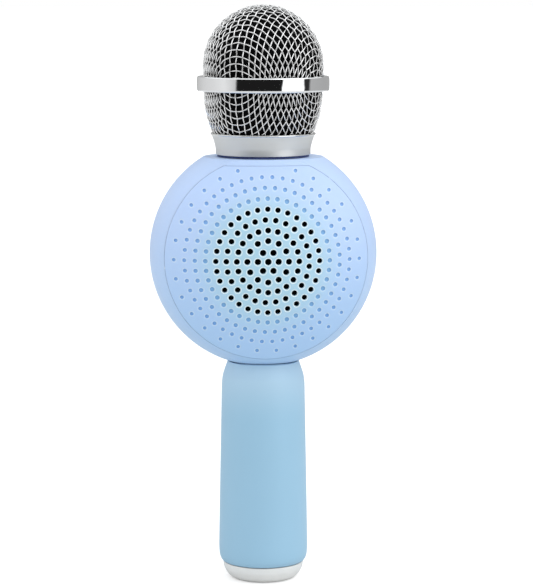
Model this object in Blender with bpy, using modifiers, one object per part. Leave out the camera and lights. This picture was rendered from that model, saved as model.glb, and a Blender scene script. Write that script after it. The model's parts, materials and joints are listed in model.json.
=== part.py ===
"""A toy karaoke microphone: a ball-shaped loudspeaker housing between a wire-mesh head and a handle.

The microphone stands on its end cap, with its origin at the centre of that flat face and +Z up.
Its loudspeaker cover faces -Y and its control cover faces +Y. All sizes are in metres.
"""

import math

import bmesh
import bpy
from mathutils import Matrix, Vector

# ---------------------------------------------------------------- driving dimensions
GAP = 0.0003  # between pieces that rest on each other
WALL = 0.0020  # moulded plastic walls

BALL_Z = 0.1385  # height of the ball's centre
BALL_R = 0.0475  # its outer radius at the parting plane
SEAM_R = 0.0418  # radius of the seam round each cover
SEAM_H = 0.0210  # distance of that seam from the parting plane
APEX_H = 0.0345  # distance of each cover's middle from the parting plane
FLAT_UP = 0.0404  # the flat on top of the ball, above its centre
CHORD_UP = 0.0380  # the straight top edge of each cover
PLATE_UNDER = 0.0383  # underside of the wall under the flat
SEAT_H = 0.0187  # the ledge that each cover rests on
SEAT_R = 0.0375  # inner radius of that ledge
LEDGE = 0.0015  # its thickness
BOSS_R = 0.0345  # how far the housing screws lie from the ball's axis
BOSS_TOP = 0.0182

HEAD_Z = 0.2166  # centre of the mesh dome
DOME_R = 0.0251
BAND_R = 0.0276
BAND_LOW, BAND_HIGH = 0.2061, 0.2123
COLLAR_LOW, COLLAR_HIGH = 0.1799, 0.1888
NECK_R, NECK_BORE, NECK_TOP = 0.0165, 0.0140, 0.1900

CAP_R, CAP_TOP = 0.0130, 0.0070  # flat foot of the end cap, and its upper edge
HANDLE_BORE, HANDLE_TOP = 0.0153, 0.0870
SPIGOT_R, SPIGOT_BORE = 0.0120, 0.0096

HOLE_PITCH = 0.00422  # between the rings of sound holes
HOLE_COUNTS = (6, 12, 20, 25, 32)
HOLE_R, HOLE_R_LOSS = 0.00135, 0.00005  # each ring's holes are a little smaller

BUTTON_RING = 0.0150
BOARD_LOW, BOARD_HIGH, BOARD_R = 0.0220, 0.0236, 0.0300
SWITCH_TOP = 0.0266

BALL, ROUND, MIDDLE, SMALL = 32, 32, 16, 10  # sides of the ball, of large, middling and small turned shapes

# worked out from the sizes above
BAND_ARC_R = ((BALL_R - SEAM_R) ** 2 + SEAM_H**2) / (2 * (BALL_R - SEAM_R))
BAND_ARC_C = BALL_R - BAND_ARC_R
COVER_R = (SEAM_R**2 + (APEX_H - SEAM_H) ** 2) / (2 * (APEX_H - SEAM_H))
COVER_C = APEX_H - COVER_R


# ---------------------------------------------------------------- scene and materials
def start_scene():
    for obj in list(bpy.data.objects):
        bpy.data.objects.remove(obj)
    made = []
    for name in ("toy_microphone", "cutters"):
        collection = bpy.data.collections.new(name)
        bpy.context.scene.collection.children.link(collection)
        made.append(collection)
    return made


PARTS, CUTTERS = start_scene()


def finish_of(name, colour, roughness, metallic=0.0):
    material = bpy.data.materials.new(name)
    material.use_nodes = True
    shader = material.node_tree.nodes["Principled BSDF"]
    shader.inputs["Base Color"].default_value = (*colour, 1.0)
    shader.inputs["Roughness"].default_value = roughness
    shader.inputs["Metallic"].default_value = metallic
    material.diffuse_color = (*colour, 1.0)
    return material


BALL_PLASTIC = finish_of("ball_plastic", (0.48, 0.65, 0.94), 0.45)
HANDLE_PLASTIC = finish_of("handle_plastic", (0.34, 0.56, 0.76), 0.5)
CHROME = finish_of("chrome", (0.9, 0.9, 0.91), 0.06, 1.0)
SATIN_CHROME = finish_of("satin_chrome", (0.72, 0.73, 0.73), 0.28, 1.0)
STEEL = finish_of("steel", (0.6, 0.6, 0.62), 0.3, 1.0)
BLACK_FOAM = finish_of("black_foam", (0.012, 0.012, 0.013), 0.95)
RUBBER = finish_of("rubber", (0.03, 0.03, 0.05), 0.8)
WHITE_PLASTIC = finish_of("white_plastic", (0.85, 0.86, 0.88), 0.4)
BLACK_PLASTIC = finish_of("black_plastic", (0.02, 0.02, 0.022), 0.4)
PAPER = finish_of("cone_paper", (0.05, 0.05, 0.055), 0.9)
FERRITE = finish_of("ferrite", (0.06, 0.06, 0.065), 0.6)
BOARD_GREEN = finish_of("board_green", (0.02, 0.18, 0.07), 0.4)
COPPER = finish_of("copper", (0.8, 0.4, 0.2), 0.3, 1.0)
CELL_WRAP = finish_of("cell_wrap", (0.05, 0.2, 0.5), 0.35)
CLEAR = finish_of("clear_plastic", (0.9, 0.92, 0.95), 0.1)
RED_LEAD = finish_of("red_lead", (0.6, 0.02, 0.02), 0.5)


# ---------------------------------------------------------------- modelling helpers
def axis_empty(name, location, rotation=(0.0, 0.0, 0.0)):
    empty = bpy.data.objects.new(name, None)
    empty.location = location
    empty.rotation_euler = rotation
    PARTS.objects.link(empty)
    return empty


UPRIGHT = axis_empty("upright_axis", (0, 0, 0))
# In the two speaker-axis frames, local z points out of the ball and local y points up.
FRONT = axis_empty("front_axis", (0, 0, BALL_Z), (math.pi / 2, 0, 0))
REAR = axis_empty("rear_axis", (0, 0, BALL_Z), (math.pi / 2, 0, math.pi))


def place(name, mesh, material, parent):
    obj = bpy.data.objects.new(name, mesh)
    obj.parent = parent
    if material is None:
        obj.hide_render = True
        obj.display_type = "WIRE"
        CUTTERS.objects.link(obj)
    else:
        mesh.materials.append(material)
        PARTS.objects.link(obj)
    return obj


def lathe(name, profile, material=None, parent=UPRIGHT, steps=MIDDLE):
    """A turned piece. The profile holds (radius, height) points, down its outer side first.
    It is closed into a ring unless it starts and ends on the axis."""
    mesh = bpy.data.meshes.new(name)
    points = [(radius, 0.0, height) for radius, height in profile]
    edges = [(i, i + 1) for i in range(len(points) - 1)]
    if profile[0][0] > 0:
        edges.append((len(points) - 1, 0))
    mesh.from_pydata(points, edges, [])
    obj = place(name, mesh, material, parent)
    screw = obj.modifiers.new("Turn", "SCREW")
    screw.axis = "Z"
    screw.steps = screw.render_steps = steps
    screw.use_merge_vertices = True
    screw.merge_threshold = 0.00001
    screw.use_smooth_shade = False
    return obj


def mesh_of(name, fill):
    """A mesh that fill(bm) adds shapes to."""
    mesh = bpy.data.meshes.new(name)
    bm = bmesh.new()
    fill(bm)
    bm.to_mesh(mesh)
    bm.free()
    return mesh


def add_rod(bm, x, y, low, high, radius, sides=SMALL, tip_radius=None):
    bmesh.ops.create_cone(
        bm,
        cap_ends=True,
        cap_tris=False,
        segments=sides,
        radius1=radius,
        radius2=radius if tip_radius is None else tip_radius,
        depth=high - low,
        matrix=Matrix.Translation((x, y, (low + high) / 2)),
    )


def add_block(bm, centre, size, turn=0.0):
    matrix = Matrix.Translation(centre) @ Matrix.Rotation(turn, 4, "Z")
    bmesh.ops.create_cube(bm, size=1.0, matrix=matrix @ Matrix.Diagonal((*size, 1.0)))


def rods(name, places, low, high, radius, material=None, parent=UPRIGHT, sides=SMALL):
    """Rods along local z that stand at each of places, as one mesh."""

    def fill(bm):
        for x, y in places:
            add_rod(bm, x, y, low, high, radius, sides)

    return place(name, mesh_of(name, fill), material, parent)


def block(name, centre, size, material=None, parent=UPRIGHT, turn=0.0):
    return place(name, mesh_of(name, lambda bm: add_block(bm, centre, size, turn)), material, parent)


def boolean(obj, other, operation="DIFFERENCE"):
    modifier = obj.modifiers.new(f"{operation.title()} {other.name}", "BOOLEAN")
    modifier.operation = operation
    modifier.object = other
    modifier.solver = "EXACT"


def arc(centre_r, centre_z, radius, start, end, count):
    """Points of (r, z) along an arc, with its angles measured from the axis, in radians."""
    points = []
    for i in range(count + 1):
        angle = start + (end - start) * i / count
        points.append((centre_r + radius * math.sin(angle), centre_z + radius * math.cos(angle)))
    return points


def around(radius, degrees):
    return [
        (radius * math.cos(math.radians(d)), radius * math.sin(math.radians(d))) for d in degrees
    ]


# ---------------------------------------------------------------- the ball's own surface
def cover_height(radius, inset=0.0):
    """Height of a cover's surface above the parting plane, at this distance from the axis."""
    return COVER_C + math.sqrt((COVER_R - inset) ** 2 - radius**2)


def band_radius(height, inset=0.0):
    """Radius of the band round the ball, at this distance from the parting plane."""
    return BAND_ARC_C + math.sqrt((BAND_ARC_R - inset) ** 2 - height**2)


def cover_arc(inset, from_r, to_r, count):
    sphere_r = COVER_R - inset
    start, end = math.asin(from_r / sphere_r), math.asin(to_r / sphere_r)
    return arc(0.0, COVER_C, sphere_r, start, end, count)


def band_arc(inset, from_h, to_h, count):
    arc_r = BAND_ARC_R - inset
    start, end = math.acos(from_h / arc_r), math.acos(to_h / arc_r)
    return arc(BAND_ARC_C, 0.0, arc_r, start, end, count)


def ball_solid(name, grow):
    """The whole ball, grown outwards, as a cutter."""
    half = cover_arc(-grow, 0.0, SEAM_R + grow / 2, 3)
    half += band_arc(-grow, SEAM_H + grow / 2, 0.0, 4)
    other = [(r, -h) for r, h in reversed(half[:-1])]
    return lathe(name, half + other, parent=FRONT, steps=BALL)


# ---------------------------------------------------------------- housing halves and covers
SCREW_PLACES = around(BOSS_R, (45, 135, 225, 315))


def housing_half(name, parent, boss_hole):
    """Half of the ball's band, with a ledge for the cover, screw bosses and the wall under the flat."""
    split = GAP / 2
    rim = 0.036  # the domed outline is only needed outside the cover's straight edge
    outline = [(0.0, cover_height(rim))] + cover_arc(0.0, rim, SEAM_R, 2)
    outline += band_arc(0.0, SEAM_H, split, 4)[1:] + [(0.0, split)]
    half = lathe(name, outline, BALL_PLASTIC, parent, BALL)

    ledge_back = SEAT_H - LEDGE
    hollow_outline = [(0.0, 0.040), (SEAM_R + GAP / 2, 0.040), (SEAM_R + GAP / 2, SEAT_H)]
    hollow_outline += [(SEAT_R, SEAT_H), (SEAT_R, ledge_back)]
    hollow_outline += band_arc(WALL, ledge_back, 0.0, 3)
    hollow_outline += [(BALL_R - WALL, -0.001), (0.0, -0.001)]
    hollow = lathe(name + "_hollow", hollow_outline, None, parent, BALL)
    above = block(name + "_above", (0, PLATE_UNDER + 0.01, 0.015), (0.11, 0.02, 0.09), None, parent)
    boolean(hollow, above)
    boolean(half, hollow)
    top = block(name + "_top", (0, FLAT_UP + 0.01, 0.015), (0.11, 0.02, 0.09), None, parent)
    boolean(half, top)

    bosses = rods(name + "_bosses", SCREW_PLACES, split, BOSS_TOP, 0.0035, None, parent)
    boolean(half, bosses, "UNION")

    def ribs(bm):
        for x, y in around(0.0388, (45, 135, 225, 315)):
            add_block(bm, (x, y, 0.0088), (0.0070, 0.0012, 0.0173), math.atan2(y, x))

    boolean(half, place(name + "_ribs", mesh_of(name + "_ribs", ribs), None, parent), "UNION")
    holes = rods(name + "_screw_holes", SCREW_PLACES, -0.001, boss_hole, 0.0016, None, parent)
    boolean(half, holes)
    boolean(half, NECK_HOLE)
    boolean(half, SPIGOT_HOLE)
    return half


NECK_HOLE = rods("neck_hole", [(0, 0)], BALL_Z + 0.030, BALL_Z + 0.045, NECK_R + GAP, sides=MIDDLE)
SPIGOT_HOLE = rods(
    "spigot_hole", [(0, 0)], BALL_Z - 0.055, BALL_Z - 0.035, SPIGOT_R + GAP, sides=MIDDLE
)
BLIND, THROUGH = 0.0130, 0.0200
housing_half("housing_front", FRONT, BLIND)
housing_half("housing_rear", REAR, THROUGH)


def cover(name, parent):
    """A domed cover with a straight top edge, as a shell of even thickness."""
    edge, rim_r, rim_h = SEAM_R - GAP / 2, 0.0402, SEAT_H + GAP
    outer = cover_arc(0.0, 0.0, edge, 3)
    inner = cover_arc(WALL, 0.0, rim_r, 3)
    outline = [(0.0, APEX_H)] + outer[1:] + [(edge, rim_h), (rim_r, rim_h)]
    outline += list(reversed(inner))[:-1] + [(0.0, APEX_H - WALL)]
    shell = lathe(name, outline, BALL_PLASTIC, parent, BALL)
    chord = block(name + "_chord", (0, CHORD_UP + 0.01, 0.025), (0.11, 0.02, 0.04), None, parent)
    boolean(shell, chord)
    return shell


def screw(name, parent, x, y, head_low, head_high, head_r, shank_r, tip):
    """A screw along local z. Its head spans head_low to head_high, and its shank ends at tip."""
    if tip < head_low:
        profile = [(0.0, head_high), (head_r, head_high), (head_r, head_low)]
        profile += [(shank_r, head_low), (shank_r, tip), (0.0, tip)]
    else:
        profile = [(0.0, tip), (shank_r, tip), (shank_r, head_high)]
        profile += [(head_r, head_high), (head_r, head_low), (0.0, head_low)]
    obj = lathe(name, profile, STEEL, parent, SMALL)
    obj.location = (x, y, 0)


def housing_screws():
    for i, (x, y) in enumerate(SCREW_PLACES):
        screw(f"housing_screw_{i + 1}", REAR, x, y, 0.0185, 0.0201, 0.0026, 0.0013, -0.0120)


housing_screws()

# ---------------------------------------------------------------- loudspeaker cover
SPEAKER_SCREWS = around(0.0255, (45, 135, 225, 315))


def sound_holes():
    """Rings of holes round a middle one. Each ring starts from the left, and they shrink outwards."""

    def fill(bm):
        add_rod(bm, 0, 0, 0.029, 0.037, HOLE_R, 6)
        for ring, count in enumerate(HOLE_COUNTS, start=1):
            degrees = [180 + 360 * i / count for i in range(count)]
            for x, y in around(ring * HOLE_PITCH, degrees):
                add_rod(bm, x, y, 0.027, 0.037, HOLE_R - HOLE_R_LOSS * ring, 6)

    return place("sound_holes", mesh_of("sound_holes", fill), None, FRONT)


def front_cover():
    shell = cover("front_cover", FRONT)
    bosses = rods("speaker_bosses", SPEAKER_SCREWS, 0.0268, 0.0288, 0.0024, None, FRONT)
    boolean(shell, bosses, "UNION")
    boolean(shell, rods("speaker_boss_holes", SPEAKER_SCREWS, 0.0260, 0.0284, 0.0012, None, FRONT))
    boolean(shell, sound_holes())


front_cover()

# ---------------------------------------------------------------- loudspeaker


def speaker_frame():
    outline = [(0.0225, 0.0268), (0.0225, 0.0258), (0.0212, 0.0258), (0.0148, 0.0156)]
    outline += [(0.0080, 0.0156), (0.0080, 0.0164), (0.0142, 0.0164), (0.0198, 0.0254)]
    outline += [(0.0198, 0.0268)]
    frame = lathe("speaker_frame", outline, STEEL, FRONT)

    def fill(bm):
        for x, y in SPEAKER_SCREWS:
            centre = Vector((x, y, 0)).normalized() * 0.0237 + Vector((0, 0, 0.0262))
            add_block(bm, centre, (0.0074, 0.0050, 0.0006), math.atan2(y, x))

    boolean(frame, place("speaker_ears", mesh_of("speaker_ears", fill), None, FRONT), "UNION")
    boolean(frame, rods("speaker_ear_holes", SPEAKER_SCREWS, 0.0250, 0.0275, 0.0013, None, FRONT))


def speaker():
    speaker_frame()
    scrim = [(0.0, 0.0282), (0.0222, 0.0282), (0.0222, 0.0279), (0.0, 0.0279)]
    lathe("cover_scrim", scrim, BLACK_FOAM, FRONT)
    gasket = [(0.0222, 0.0276), (0.0222, 0.0271), (0.0203, 0.0271), (0.0203, 0.0276)]
    lathe("speaker_gasket", gasket, BLACK_FOAM, FRONT)
    surround = [(0.0195, 0.0257), (0.0195, 0.0253), (0.0191, 0.0256), (0.0184, 0.0261)]
    surround += [(0.0177, 0.0256), (0.0175, 0.0253), (0.0174, 0.0257), (0.0184, 0.0266)]
    lathe("speaker_surround", surround, RUBBER, FRONT)
    spider = [(0.0138, 0.0179), (0.0138, 0.0176), (0.0067, 0.0176), (0.0067, 0.0179)]
    lathe("speaker_spider", spider, PAPER, FRONT)
    top_plate = [(0.0135, 0.0153), (0.0135, 0.0139), (0.0069, 0.0139), (0.0069, 0.0153)]
    lathe("speaker_top_plate", top_plate, STEEL, FRONT)
    magnet = [(0.0150, 0.0136), (0.0150, 0.0086), (0.0080, 0.0086), (0.0080, 0.0136)]
    lathe("speaker_magnet", magnet, FERRITE, FRONT)
    yoke = [(0.0, 0.0153), (0.0054, 0.0153), (0.0054, 0.0083), (0.0142, 0.0083)]
    yoke += [(0.0142, 0.0066), (0.0, 0.0066)]
    lathe("speaker_yoke", yoke, STEEL, FRONT)

    cone = [(0.0172, 0.0253), (0.0172, 0.0248), (0.0064, 0.0193), (0.0059, 0.0196)]
    lathe("speaker_cone", cone, PAPER, FRONT)
    cap = [(0.0, 0.0226), (0.0040, 0.0218), (0.0069, 0.0205), (0.0068, 0.0202)]
    cap += [(0.0039, 0.0214), (0.0, 0.0222)]
    lathe("speaker_dust_cap", cap, PAPER, FRONT)
    coil = [(0.0064, 0.0190), (0.0064, 0.0106), (0.0059, 0.0106), (0.0059, 0.0190)]
    lathe("voice_coil", coil, COPPER, FRONT)
    for i, (x, y) in enumerate(SPEAKER_SCREWS):
        screw(f"speaker_screw_{i + 1}", FRONT, x, y, 0.0243, 0.0255, 0.0019, 0.0009, 0.0281)


speaker()

# ---------------------------------------------------------------- control cover and its buttons
BUTTONS = {
    "power_button": (0.0, 0.0),
    "volume_up_button": (0.0, BUTTON_RING),
    "next_button": (-BUTTON_RING, 0.0),
    "volume_down_button": (0.0, -BUTTON_RING),
    "echo_button": (BUTTON_RING, 0.0),
}
POWER_R, BUTTON_R = 0.0060, 0.0042
SOCKET_AT, JACK_AT, LAMP_AT = (-0.0070, -0.0240), (0.0085, -0.0235), (0.0, 0.0240)
SOCKET_HALF, SOCKET_CORNER = 0.0045, 0.0016  # half its width, and the radius of its round ends
BOARD_SCREWS = around(0.0260, (28, 152, 270))


def button_radius(name):
    return POWER_R if name == "power_button" else BUTTON_R


def add_slot(bm, centre, half_width, end_r, low, high):
    """A prism with round ends, along local z."""
    x, y = centre
    add_rod(bm, x, y, low, high, end_r, SMALL)
    right = [v for v in bm.verts if v.co.x > x + 1e-6]
    left = [v for v in bm.verts if v.co.x < x - 1e-6]
    bmesh.ops.translate(bm, verts=right, vec=(half_width - end_r, 0, 0))
    bmesh.ops.translate(bm, verts=left, vec=(end_r - half_width, 0, 0))


def slot(name, centre, half_width, end_r, low, high, material=None, parent=REAR):
    mesh = mesh_of(name, lambda bm: add_slot(bm, centre, half_width, end_r, low, high))
    return place(name, mesh, material, parent)


def rear_cover():
    shell = cover("rear_cover", REAR)
    posts = rods("board_posts", BOARD_SCREWS, 0.0239, 0.0288, 0.0024, None, REAR)
    boolean(shell, posts, "UNION")
    boolean(shell, rods("board_post_holes", BOARD_SCREWS, 0.0230, 0.0278, 0.0012, None, REAR))
    for name, centre in BUTTONS.items():
        radius = button_radius(name) + GAP
        hole = rods(name + "_hole", [centre], 0.0270, 0.0370, radius, None, REAR, MIDDLE)
        boolean(shell, hole)
    low, high = 0.0250, 0.0350
    boolean(shell, slot("socket_hole", SOCKET_AT, SOCKET_HALF + GAP, SOCKET_CORNER + GAP, low, high))
    boolean(shell, rods("jack_hole", [JACK_AT], low, high, 0.0035, None, REAR))
    boolean(shell, rods("lamp_hole", [LAMP_AT], low, high, 0.0014, None, REAR))


def button(name, centre):
    """A domed key, with a flange behind the cover and a stem that enters its switch."""
    radius = button_radius(name)
    proud = 0.0010
    top = cover_height(math.hypot(*centre)) + proud
    flange_r = radius + 0.0008
    outline = [(0.0, top), (radius * 0.55, top - 0.0002), (radius - 0.0006, top - 0.0006)]
    outline += [(radius, top - 0.0013), (radius, 0.0289), (flange_r, 0.0289)]
    outline += [(flange_r, 0.0279), (0.0016, 0.0279), (0.0016, 0.0251), (0.0, 0.0251)]
    obj = lathe(name, outline, WHITE_PLASTIC, REAR, MIDDLE)
    obj.location = (*centre, 0)


def switch(name, centre):
    x, y = centre
    low = BOARD_HIGH + 0.0002
    centre_height, side = (low + SWITCH_TOP) / 2, 0.006
    size = (side, side, SWITCH_TOP - low)
    body = block(name, (x, y, centre_height), size, BLACK_PLASTIC, REAR)
    boolean(body, rods(name + "_well", [centre], 0.0241, 0.0280, 0.0019, None, REAR))


def main_board():
    """The circuit board, with the parts that are soldered to its inner side."""
    board = rods("main_board", [(0, 0)], BOARD_LOW, BOARD_HIGH, BOARD_R, BOARD_GREEN, REAR, MIDDLE)
    inner = BOARD_LOW + 0.0003

    def fill(bm):
        for x, y, width, depth, tall in (
            (0.006, 0.005, 0.007, 0.007, 0.0012),
            (-0.010, 0.008, 0.005, 0.006, 0.0016),
            (-0.012, -0.006, 0.006, 0.006, 0.0030),
            (0.016, -0.004, 0.004, 0.008, 0.0050),
        ):
            add_block(bm, (x, y, inner - tall / 2), (width, depth, tall))
        add_rod(bm, 0.012, 0.013, inner - 0.008, inner, 0.0030, MIDDLE)
        add_rod(bm, -0.001, -0.008, inner - 0.006, inner, 0.0025, MIDDLE)

    soldered = place("soldered_parts", mesh_of("soldered_parts", fill), None, REAR)
    boolean(board, soldered, "UNION")
    boolean(board, rods("board_holes", BOARD_SCREWS, 0.021, 0.025, 0.0012, None, REAR))
    boolean(board, rods("board_jack_hole", [JACK_AT], 0.020, 0.025, 0.0036, None, REAR))
    for i, (x, y) in enumerate(BOARD_SCREWS):
        screw(f"board_screw_{i + 1}", REAR, x, y, 0.0206, 0.0218, 0.0020, 0.0009, 0.0275)


def sockets():
    low = BOARD_HIGH + 0.0002
    x, y = SOCKET_AT
    shell = slot("charge_socket", SOCKET_AT, SOCKET_HALF, SOCKET_CORNER, low, 0.0296, STEEL)
    wall = 0.00033
    inside = slot(
        "socket_inside", SOCKET_AT, SOCKET_HALF - wall, SOCKET_CORNER - wall, 0.0250, 0.0310
    )
    boolean(inside, block("socket_tongue", (x, y, 0.0265), (0.0066, 0.0007, 0.0055), None, REAR))
    boolean(shell, inside)

    x, y = JACK_AT
    flange = 0.0014
    jack = block("audio_jack", (x, y, low + flange / 2), (0.0078, 0.0070, flange), BLACK_PLASTIC, REAR)
    boolean(jack, rods("jack_barrel", [JACK_AT], 0.0140, 0.0294, 0.0032, None, REAR), "UNION")
    boolean(jack, rods("jack_bore", [JACK_AT], 0.0150, 0.0310, 0.0018, None, REAR))

    rods("lamp_light_pipe", [LAMP_AT], low, 0.0306, 0.0011, CLEAR, REAR)


def controls():
    rear_cover()
    main_board()
    sockets()
    for name, centre in BUTTONS.items():
        button(name, centre)
        switch(name.replace("_button", "_switch"), centre)


controls()


# ---------------------------------------------------------------- head: mesh, band, collar, foam
def head_collar():
    """The flared collar that screws on to the neck and holds the head's lower mesh."""
    outline = [(0.0216, COLLAR_HIGH), (0.0219, 0.1886), (0.0207, 0.1859), (0.0199, 0.1825)]
    outline += [(0.0198, COLLAR_LOW)]
    outline += [(NECK_R + GAP, COLLAR_LOW), (NECK_R + GAP, 0.1860), (0.0209, 0.1872)]
    outline += [(0.0213, COLLAR_HIGH)]
    lathe("head_collar", outline, SATIN_CHROME, UPRIGHT, ROUND)
    gasket = [(0.0192, 0.1797), (0.0192, 0.1791), (NECK_R + GAP, 0.1791), (NECK_R + GAP, 0.1797)]
    lathe("neck_gasket", gasket, RUBBER, UPRIGHT, ROUND)


def grille():
    """The mesh is modelled as a thin shell in two stampings, each with a rim in the band's channel."""
    thick = 0.0009
    bowl = [(0.0265, 0.2086), (0.0265, 0.2077), (0.0248, 0.2077), (0.0245, 0.1995)]
    bowl += [(0.0231, 0.1942), (0.0213, 0.1895), (0.0206, 0.1880), (0.0198, 0.1880)]
    bowl += [(0.0204, 0.1897), (0.0222, 0.1945), (0.0236, 0.1997), (0.0239, 0.2086)]
    lathe("grille_bowl", bowl, CHROME, UPRIGHT, ROUND)

    dome = [(0.0, HEAD_Z + DOME_R)] + arc(0, HEAD_Z, DOME_R, 0, math.pi / 2, 5)[1:]
    dome += [(DOME_R, 0.2100), (0.0265, 0.2100), (0.0265, 0.2091), (DOME_R - thick, 0.2091)]
    inner = arc(0, HEAD_Z, DOME_R - thick, math.pi / 2, 0, 4)
    dome += inner[:-1] + [(0.0, HEAD_Z + DOME_R - thick)]
    lathe("grille_dome", dome, CHROME, UPRIGHT, ROUND)

    lip_r, wall = 0.0255, 0.0007
    band = [(lip_r, BAND_HIGH), (0.0272, BAND_HIGH), (BAND_R, 0.2092), (0.0272, BAND_LOW)]
    band += [(lip_r, BAND_LOW), (lip_r, BAND_LOW + wall)]
    band += [(BAND_R - wall, BAND_LOW + wall), (BAND_R - wall, BAND_HIGH - wall)]
    band += [(lip_r, BAND_HIGH - wall)]
    lathe("grille_band", band, CHROME, UPRIGHT, ROUND)


def foam_windscreen():
    """A foam liner that follows the mesh inside."""
    outer_r, thick = 0.0235, 0.0030
    outline = [(0.0, HEAD_Z + outer_r)] + arc(0, HEAD_Z, outer_r, 0, math.pi / 2, 5)[1:]
    outline += [(0.0232, 0.2000), (0.0218, 0.1947), (0.0201, 0.1899), (0.0175, 0.1899)]
    outline += [(0.0193, 0.1955), (0.0203, 0.2000)]
    outline += arc(0, HEAD_Z, outer_r - thick, math.pi / 2, 0, 5)[:-1]
    outline += [(0.0, HEAD_Z + outer_r - thick)]
    lathe("foam_windscreen", outline, BLACK_FOAM, UPRIGHT, MIDDLE)


def neck_and_capsule():
    """The neck that the head screws on to, and the microphone capsule on its post."""
    flange_high = BALL_Z + PLATE_UNDER - 0.0003
    neck = [(NECK_R, NECK_TOP), (NECK_R, flange_high), (0.0186, flange_high)]
    neck += [(0.0186, flange_high - 0.0022), (NECK_BORE, flange_high - 0.0022)]
    neck += [(NECK_BORE, NECK_TOP)]
    tube = lathe("neck_tube", neck, BALL_PLASTIC, UPRIGHT, MIDDLE)

    def flats(bm):
        for side in (-1, 1):
            add_block(bm, (0, side * 0.0217, flange_high - 0.001), (0.05, 0.010, 0.008))

    boolean(tube, place("neck_flats", mesh_of("neck_flats", flats), None, UPRIGHT))
    holder = [(0.0078, 0.2040), (0.0078, 0.1915), (0.0163, 0.1915), (0.0163, 0.1903)]
    holder += [(0.0137, 0.1903), (0.0137, 0.1875), (0.0122, 0.1875), (0.0122, 0.1900)]
    holder += [(0.0015, 0.1900), (0.0015, 0.1925), (0.0066, 0.1925), (0.0066, 0.2040)]
    lathe("capsule_holder", holder, BLACK_PLASTIC)
    boot = [(0.0064, 0.2050), (0.0064, 0.1965), (0.0050, 0.1965), (0.0050, 0.2050)]
    lathe("capsule_boot", boot, RUBBER)
    capsule = [(0.0, 0.2047), (0.0048, 0.2047), (0.0048, 0.1980), (0.0, 0.1980)]
    lathe("mic_capsule", capsule, STEEL)


head_collar()
grille()
foam_windscreen()
neck_and_capsule()


# ---------------------------------------------------------------- handle, end cap and battery
def handle():
    """The tapering handle. Its top is closed round the spigot, and hollowed to sit under the ball."""
    hole_r, above = SPIGOT_R + GAP, 0.0960
    outline = [(hole_r, above), (0.0141, above), (0.0154, 0.0919), (0.0166, 0.0882)]
    outline += [(0.0174, 0.0838), (0.0180, 0.0550), (0.0187, 0.0150), (0.0185, 0.0104)]
    outline += [(0.0173, CAP_TOP + GAP), (HANDLE_BORE, CAP_TOP + GAP)]
    outline += [(HANDLE_BORE, HANDLE_TOP - 0.004), (0.0140, HANDLE_TOP), (hole_r, HANDLE_TOP)]
    tube = lathe("handle_tube", outline, HANDLE_PLASTIC, UPRIGHT, ROUND)
    boolean(tube, ball_solid("ball_clearance", GAP))


def spigot():
    """A flanged tube that clamps the handle to the ball, with its nut inside the handle."""
    flange_low, flange_high = 0.0963, 0.0985
    outline = [(SPIGOT_BORE, flange_high), (0.0145, flange_high), (0.0145, flange_low)]
    outline += [(SPIGOT_R, flange_low), (SPIGOT_R, 0.0810), (SPIGOT_BORE, 0.0810)]
    lathe("handle_spigot", outline, BALL_PLASTIC)
    nut_high, nut_low = HANDLE_TOP - GAP, HANDLE_TOP - 0.0040
    nut = [(0.0136, nut_high), (0.0136, nut_low), (SPIGOT_R + GAP, nut_low)]
    nut += [(SPIGOT_R + GAP, nut_high)]
    lathe("spigot_nut", nut, WHITE_PLASTIC)


def end_cap():
    """The cap that the microphone stands on, with a plug that fits in the handle."""
    corner = arc(CAP_R, 0.0035, 0.0035, math.radians(70), math.pi, 3)
    plug = [(0.0, 0.0030), (0.0133, 0.0030), (0.0133, 0.0130), (0.0149, 0.0130), (0.0149, CAP_TOP)]
    outline = plug + [(0.0172, CAP_TOP)] + corner + [(0.0, 0.0)]
    lathe("end_cap", outline, SATIN_CHROME, UPRIGHT, ROUND)


def battery():
    cell = [(0.0, 0.0700), (0.0030, 0.0700), (0.0030, 0.0690), (0.0091, 0.0690)]
    cell += [(0.0091, 0.0040), (0.0, 0.0040)]
    lathe("battery_cell", cell, CELL_WRAP)
    sleeve = [(0.0149, 0.0600), (0.0149, 0.0180), (0.0094, 0.0180), (0.0094, 0.0600)]
    lathe("battery_sleeve", sleeve, BLACK_FOAM)


handle()
spigot()
end_cap()
battery()


# ---------------------------------------------------------------- cables held inside
def cable(name, route, radius, material):
    """A tube along a smooth curve through the route's points."""
    route = [Vector(p) for p in route]
    points = []
    for i in range(len(route) - 1):
        before, start, end = route[max(i - 1, 0)], route[i], route[i + 1]
        after = route[min(i + 2, len(route) - 1)]
        for t in (0.0, 1 / 3, 2 / 3):
            points.append(
                start * (2 * t**3 - 3 * t**2 + 1)
                + end * (3 * t**2 - 2 * t**3)
                + (end - before) * 0.5 * (t**3 - 2 * t**2 + t)
                + (after - start) * 0.5 * (t**3 - t**2)
            )
    points.append(route[-1])
    curve = bpy.data.curves.new(name, "CURVE")
    curve.dimensions = "3D"
    curve.bevel_depth = radius
    curve.bevel_resolution = 1
    curve.use_fill_caps = True
    spline = curve.splines.new("POLY")
    spline.points.add(len(points) - 1)
    for point, place_at in zip(spline.points, points):
        point.co = (*place_at, 1.0)
    obj = bpy.data.objects.new(name, curve)
    curve.materials.append(material)
    PARTS.objects.link(obj)


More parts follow.
